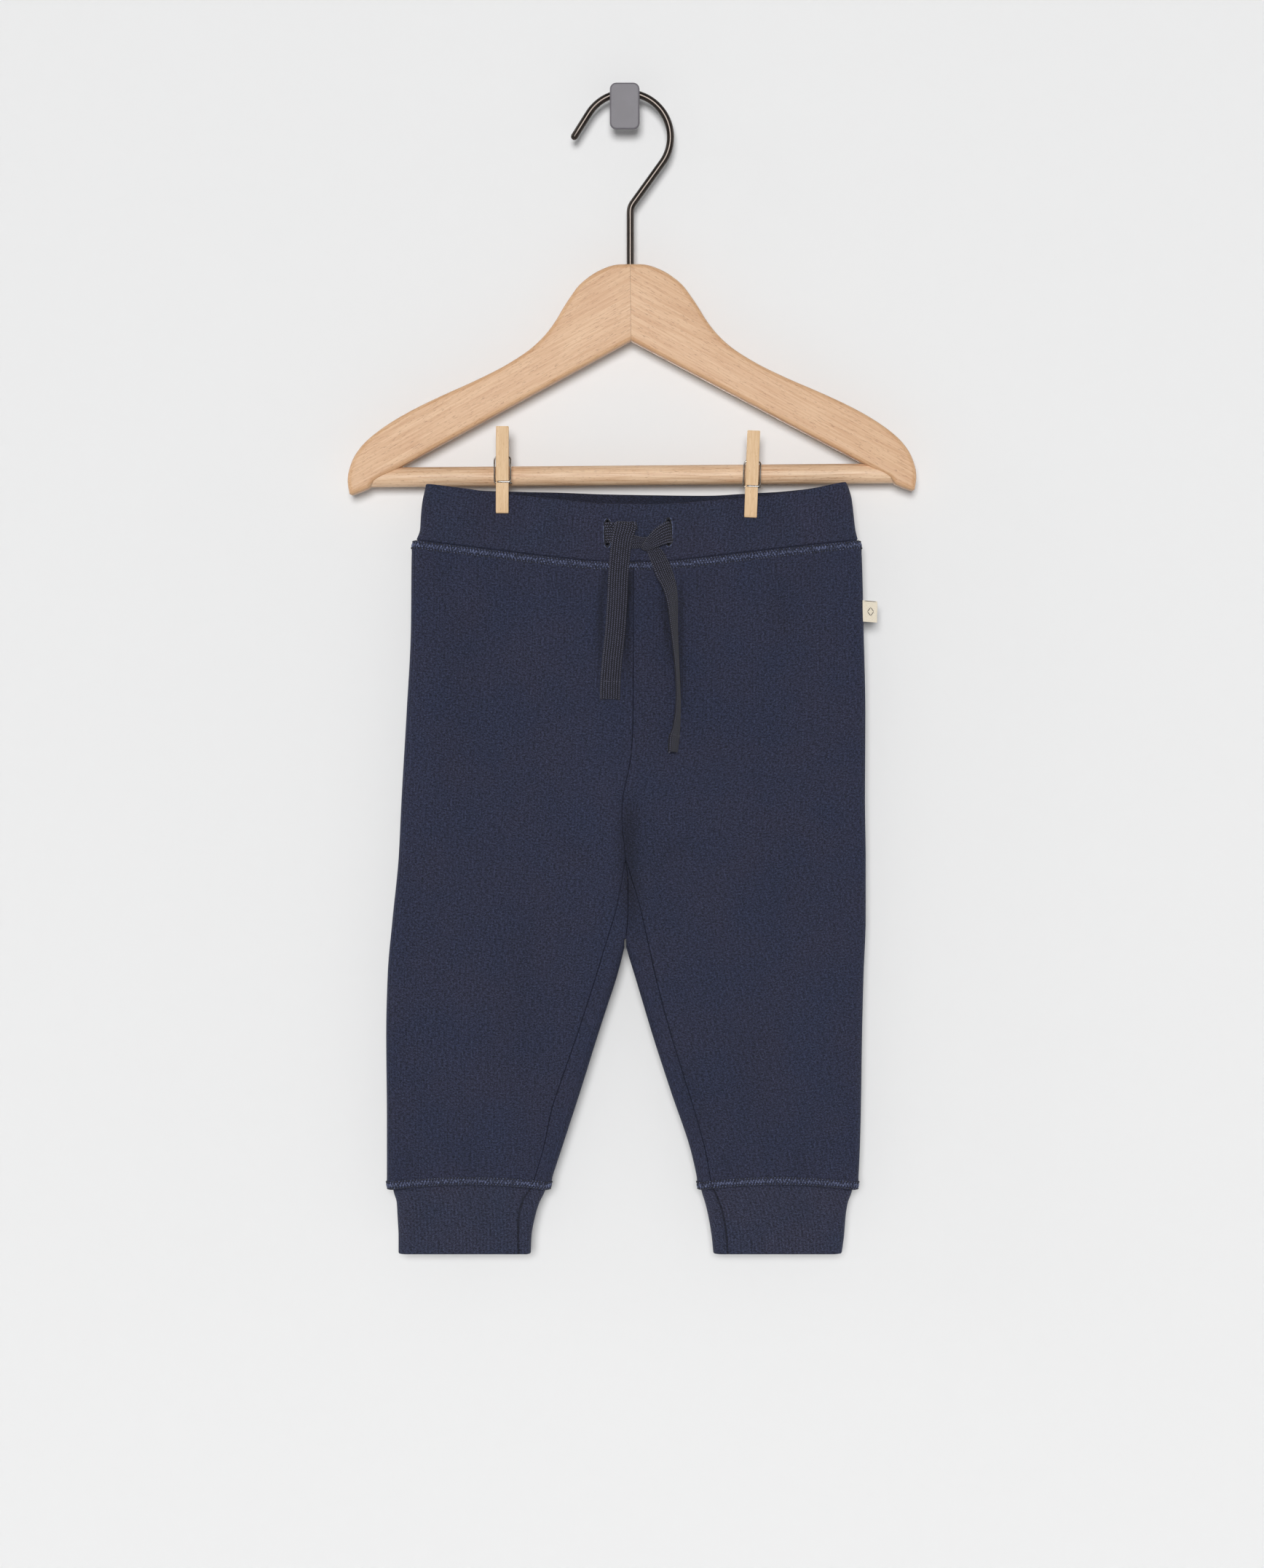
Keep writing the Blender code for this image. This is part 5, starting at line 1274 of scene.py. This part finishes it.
KNOT_BAND = [
    (-11.6, -238.0, -1.2, 0, 11.5), (-9.8, -237.8, 0.5, 4, 11.5), (-7.0, -238.0, 1.15, 2, 11.2),
    (-2.0, -240.2, 1.25, 0, 10.0), (3.0, -242.6, 1.3, 0, 8.0), (8.6, -243.2, 1.3, 0, 5.8),
    (13.5, -243.0, 1.2, 0, 5.4)]
KNOT_STRIP = [
    (25.2, -237.2, -1.2, 0, 12.4), (23.2, -237.8, 0.8, 0, 12.0), (20.4, -239.0, 2.2, 6, 11.0),
    (16.8, -241.2, 3.1, 10, 9.2), (13.2, -243.8, 3.3, 6, 6.6), (10.6, -246.2, 2.8, 0, 4.2),
    (10.0, -247.2, 2.0, 0, 3.0)]
HEM_LENGTH = 10.6
# The weave's repeats, in metres
STRIPE = 0.00125
COLUMN_WIDTH = 0.0007
FLOAT_PITCH = 0.00105
TAPE_COLUMNS = np.array([-1, -0.985, -0.95, -0.88, -0.72, -0.5, -0.25, 0, 0.25, 0.5, 0.72, 0.88, 0.95,
                         0.985, 1])


def cloth_front(x, z):
    """The front face of the band or body at a place."""
    x, z = np.atleast_1d(np.asarray(x, float)), np.atleast_1d(np.asarray(z, float))
    seam = drooped(x, BODY_TOP, 1, "front")
    lift = np.where(z > seam, relief(BAND_FRONT_CREASES, x, z),
                    relief(FRONT_CREASES, x, z) + allowance(BODY_TOP - np.maximum(seam - z, 0)))
    return CLOTH_DEPTH - HALF_DEPTH - lift


def tape_mesh(name, table, hem=0.0):
    """A woven tape along its middle line, with rounded selvedges and a doubled hem at its end."""
    spots = curve_through([row[:2] for row in table], 9)
    keys = np.arange(len(table))
    at = np.linspace(0, len(table) - 1, len(spots))
    gap, turn, width = (np.interp(at, keys, [row[k] for row in table]) for k in (2, 3, 4))
    for values in (gap, turn, width):
        values[1:-1] = (values[:-2] + 2 * values[1:-1] + values[2:]) / 4
    x, z = np.array([s.x for s in spots]), np.array([s.y for s in spots])
    line = np.stack([x, cloth_front(x, z) - gap, z], axis=1)
    along = unit(np.gradient(line, axis=0))
    way = way_along(line)
    flat_way = np.stack([x, np.zeros_like(x), z], axis=1)
    flat_way = unit(np.gradient(flat_way, axis=0))
    level = unit(np.stack([-flat_way[:, 2], np.zeros_like(x), flat_way[:, 0]], axis=1))
    if name == "drawstring_left":
        level = np.tile(unit(np.array([[1.0, 0.0, -0.06]])), (len(x), 1))
    normal = unit(np.cross(level, along))
    level = np.cross(along, normal)
    c, s = np.cos(np.radians(turn))[:, None], np.sin(np.radians(turn))[:, None]
    across, face = level * c + np.cross(along, level) * s, normal * c + np.cross(along, normal) * s
    left = way[-1] - way
    thick = np.full(len(x), TAPE_HALF_THICKNESS)
    if hem:
        thick += 0.36 * ease((hem - left) / 1.2)
        thick -= 0.3 * np.exp(-((left - hem + 1.3) / 0.45) ** 2)
    verts, uvs_at = [], []
    rim = np.sqrt(1 - np.abs(TAPE_COLUMNS) ** 6)
    cup = 0.25 * TAPE_COLUMNS ** 2
    for i in range(len(x)):
        for sign, columns in ((1, range(len(TAPE_COLUMNS))), (-1, reversed(range(1, len(TAPE_COLUMNS) - 1)))):
            for k in columns:
                rise = sign * thick[i] * rim[k] + cup[k] - 0.1
                verts.append(line[i] + across[i] * TAPE_COLUMNS[k] * width[i] / 2 + face[i] * rise)
                uvs_at.append((TAPE_COLUMNS[k] * TAPE_WIDTH / 2, -way[i]))
    ring = 2 * len(TAPE_COLUMNS) - 2
    faces, uvs = [], []
    for i in range(len(x) - 1):
        for k in range(ring):
            quad = (i * ring + k, i * ring + (k + 1) % ring, (i + 1) * ring + (k + 1) % ring,
                    (i + 1) * ring + k)
            faces.append(quad)
            uvs += [uvs_at[q] for q in quad]
    for end, order in ((0, -1), (len(x) - 1, 1)):
        cap = list(range(end * ring, (end + 1) * ring))[::order]
        faces.append(cap)
        uvs += [uvs_at[q] for q in cap]
    return np.array(verts), faces, uvs, line, across, face


# Herringbone cotton tape: narrow upright stripes of slanting floats that lean left and right by turns,
# grey navy with dark gaps between the floats, and dry to the eye.
herringbone, tree, shader = new_material("herringbone_cotton_tape", Roughness=0.9, IOR=1.45,
                                         Sheen_Weight=0.12, Sheen_Roughness=0.5)
place = node(tree, "ShaderNodeTexCoord")
apart = node(tree, "ShaderNodeSeparateXYZ", inputs={"Vector": place.outputs["UV"]})
stripe = reckoned(tree, "PINGPONG", apart.outputs["X"], STRIPE)
slant = reckoned(tree, "MULTIPLY_ADD", stripe, 0.85, apart.outputs["Y"])
float_high = reckoned(tree, "SINE", reckoned(tree, "MULTIPLY", slant, 2 * pi / FLOAT_PITCH))
stripe_edge = reckoned(tree, "PINGPONG", apart.outputs["X"], COLUMN_WIDTH)
weave_high = reckoned(tree, "MULTIPLY", ranged(tree, float_high, -0.7, 0.8),
                      ranged(tree, stripe_edge, 0.0001, 0.00045, 0.1))
uneven = reckoned(tree, "MULTIPLY", weave_high, noise(tree, place.outputs["Object"], 1500.0))
tone = node(tree, "ShaderNodeValToRGB", inputs={"Fac": uneven})
for element, position, code in zip(tone.color_ramp.elements, (0.12, 0.5), ("#0d0d14", "#5c5d74")):
    element.position = position
    element.color = linear(code)
surface(tree, shader, tone.outputs["Color"], weave_high, 0.8, 0.00025)

tapes = []
for name, table in (("drawstring_left", LEFT_TAPE), ("drawstring_right", RIGHT_TAPE)):
    verts, faces, uvs, *lie = tape_mesh(name, table, HEM_LENGTH)
    tapes.append((show(f"{name}_tape", mesh_of(name, verts, faces, uvs, 70), herringbone, "tape", name), lie))
(left_tape, left_lie), (right_tape, right_lie) = tapes
knot_parts = [tape_mesh("knot", table)[:3] for table in (KNOT_BAND, KNOT_STRIP)]
start = len(knot_parts[0][0])
knot_mesh = mesh_of("drawstring_knot", np.concatenate([part[0] for part in knot_parts]),
                    list(knot_parts[0][1]) + [[i + start for i in face] for face in knot_parts[1][1]],
                    knot_parts[0][2] + knot_parts[1][2], 70)
knot = show("drawstring_half_knot", knot_mesh, herringbone, "tape", "drawstring_knot")

# The hems' rows of stitches, and the few yarns that fray from the turned corners.
hem_threads = []
for line, across, face in (left_lie, right_lie):
    way = way_along(line)
    row = int(np.argmin(abs(way[-1] - way - (HEM_LENGTH - 1.0))))
    for sign in (1, -1):
        dashes = []
        for k in np.arange(-5.0, 4.6, 1.55):
            steps = np.linspace(0, 1.2, 4)
            lifts = np.array([0.3, 0.82, 0.82, 0.3])
            dashes.append([line[row] + across[row] * (k + step) + face[row] * sign * lift
                           for step, lift in zip(steps, lifts)])
        dashes = np.array(dashes)
        out = np.broadcast_to(face[row] * sign, dashes.shape)
        hem_threads.append(threads(dashes, out, 0.2))
    for k, (side_step, drop) in enumerate([(-5.2, 1.1), (-4.6, 0.8), (-3.9, 0.6), (4.9, 0.7)]):
        end = line[-1] + across[-1] * side_step
        fray = np.array([[end, end + across[-1] * 0.15 * side_step / 5 + [0, -0.1 * k, -drop * 0.6],
                          end + across[-1] * 0.3 * side_step / 5 + [0, 0.1 * k - 0.2, -drop]]])
        hem_threads.append(threads(fray, np.broadcast_to(face[-1], fray.shape), 0.14))
tape_thread = sewing_thread("grey_polyester_thread", "#6b6a78", "#3c3c48")
hems = show("drawstring_hem_stitches", joined("hem_threads", hem_threads), tape_thread, "tape")


# ---------------------------------------------------------------- Side label
# A short loop of cream woven satin ribbon caught in the right side seam. A small plain diamond is
# embroidered on its face in dark thread, and a stitch shows along its top edge.
LABEL_ROOT = 129.4
LABEL_END = 138.3
LABEL_HALF_HEIGHT = 5.85
LABEL_MIDDLE = -280.5
LABEL_DEPTH = CLOTH_DEPTH - HALF_DEPTH * sin(SIDE_SEAM_ANGLE[1])
LABEL_HALF_LOOP = 0.5
LABEL_WALL = 0.34
LABEL_TILT = 0.08

woven, tree, shader = new_material("cream_woven_ribbon", Roughness=0.72, IOR=1.5, Sheen_Weight=0.15)
weave = node(tree, "ShaderNodeTexCoord").outputs["UV"]
ribs = noise(tree, scaled(tree, weave, (900.0, 3200.0, 1.0)), flat=True)
surface(tree, shader, blended(tree, ribs, "#d8cbb2", "#f4ebda"), ribs, 0.4, 0.0001)

bend = LABEL_END - LABEL_HALF_LOOP
loop = [(x, LABEL_DEPTH - LABEL_HALF_LOOP) for x in np.linspace(LABEL_ROOT, bend, 12)]
loop += arc((bend, LABEL_DEPTH), LABEL_HALF_LOOP, -pi / 2, pi / 2, 9)[1:-1]
loop += [(x, LABEL_DEPTH + LABEL_HALF_LOOP) for x in np.linspace(bend, LABEL_ROOT, 12)]
rows = []
for share in np.linspace(1, -1, 11):
    rows.append([(x + 0.12 * sin(3 * share), y + 0.1 * sin(2.2 * share + x),
                  LABEL_MIDDLE + share * LABEL_HALF_HEIGHT - LABEL_TILT * (x - LABEL_ROOT)) for x, y in loop])
points = np.array(rows)
label = cloth_piece("side_label_ribbon", [(points, flat_places(points), False)], LABEL_WALL, woven,
                    "label", ["side_label"])
stitch_depth = LABEL_DEPTH - LABEL_HALF_LOOP - 0.1
middle = np.array([134.6, stitch_depth, LABEL_MIDDLE - 0.5])
lines = []
for turn in (0.0, pi / 2, pi, 3 * pi / 2):
    a, b = (np.array([cos(t) * 1.7, 0.0, sin(t) * 2.3]) for t in (turn, turn + pi / 2))
    lines.append(([middle + a * (1 - t) + b * t for t in np.linspace(0.0, 1.0, 5)], 0.19))
top_edge = LABEL_MIDDLE + LABEL_HALF_HEIGHT - 0.25
lines.append(([(x, stitch_depth, top_edge - LABEL_TILT * (x - LABEL_ROOT))
               for x in np.linspace(131.2, 137.6, 8)], 0.16))
motif = [threads(np.array([path]), np.broadcast_to([0.0, -1.0, 0.0], (1, len(path), 3)), radius)
         for path, radius in lines]
dark_thread = sewing_thread("dark_embroidery_thread", "#2b2a30", "#16151a")
motif = show("side_label_embroidery", joined("motif", motif), dark_thread, "label")


# ---------------------------------------------------------------- Room
# A matt pale wall right behind the hook, a pale floor far below, and even studio light from in front and
# a little from the left. The wall lets light and the eye through from behind, so that the back shows.
FLOOR_HEIGHT = -1.3
WALL_CLEARANCE = 0.0006
ROOM_REACH = 4.0


def plain_panel(name, corners, code, see_through):
    """A flat matt panel. One that is see-through shows from its front only and casts no shadow."""
    mesh = bpy.data.meshes.new(name)
    mesh.from_pydata(corners, [], [(0, 1, 2, 3)])
    panel = bpy.data.objects.new(name, mesh)
    bpy.context.scene.collection.objects.link(panel)
    made, tree, shader = new_material(name, Roughness=0.95, Base_Color=linear(code),
                                      Specular_IOR_Level=0.1)
    if see_through:
        behind = node(tree, "ShaderNodeNewGeometry").outputs["Backfacing"]
        shadow = node(tree, "ShaderNodeLightPath").outputs["Is Shadow Ray"]
        clear = node(tree, "ShaderNodeBsdfTransparent")
        mixed = node(tree, "ShaderNodeMixShader", inputs={
            0: reckoned(tree, "MAXIMUM", behind, shadow), 1: shader.outputs["BSDF"],
            2: clear.outputs["BSDF"]})
        tree.links.new(mixed.outputs["Shader"], tree.nodes["Material Output"].inputs["Surface"])
    mesh.materials.append(made)


plain_panel("wall", [(-ROOM_REACH, WALL_CLEARANCE, FLOOR_HEIGHT), (ROOM_REACH, WALL_CLEARANCE, FLOOR_HEIGHT),
                     (ROOM_REACH, WALL_CLEARANCE, 3), (-ROOM_REACH, WALL_CLEARANCE, 3)], "#f0f0f0", True)
plain_panel("floor", [(x * ROOM_REACH, y * ROOM_REACH, FLOOR_HEIGHT)
                      for x, y in ((-1, -1), (1, -1), (1, 1), (-1, 1))], "#eeeeed", False)

world = bpy.data.worlds.new("studio")
bpy.context.scene.world = world
world.use_nodes = True
background = world.node_tree.nodes["Background"]
background.inputs["Color"].default_value = linear("#f6f7f9")
background.inputs["Strength"].default_value = 0.15

# Each light travels the given way. The side and back lights only keep the flanks and the back readable.
for name, strength, towards, spread_angle in (
        ("front_light", 2.3, (0.04, 1.0, -0.1), 16.0),
        ("right_light", 0.4, (-1.0, 0.0, -0.2), 30.0),
        ("left_light", 0.65, (1.0, 0.02, -0.35), 35.0),
        ("back_light", 2.0, (0.1, -1.0, -0.12), 20.0)):
    lamp = bpy.data.lights.new(name, "SUN")
    lamp.energy = strength
    lamp.angle = radians(spread_angle)
    lamp.cycles.max_bounces = 1024 if name == "front_light" else 0
    beam = bpy.data.objects.new(name, lamp)
    bpy.context.scene.collection.objects.link(beam)
    beam.rotation_euler = Vector(towards).to_track_quat("-Z", "Y").to_euler()
bpy.context.scene.view_settings.view_transform = "Standard"
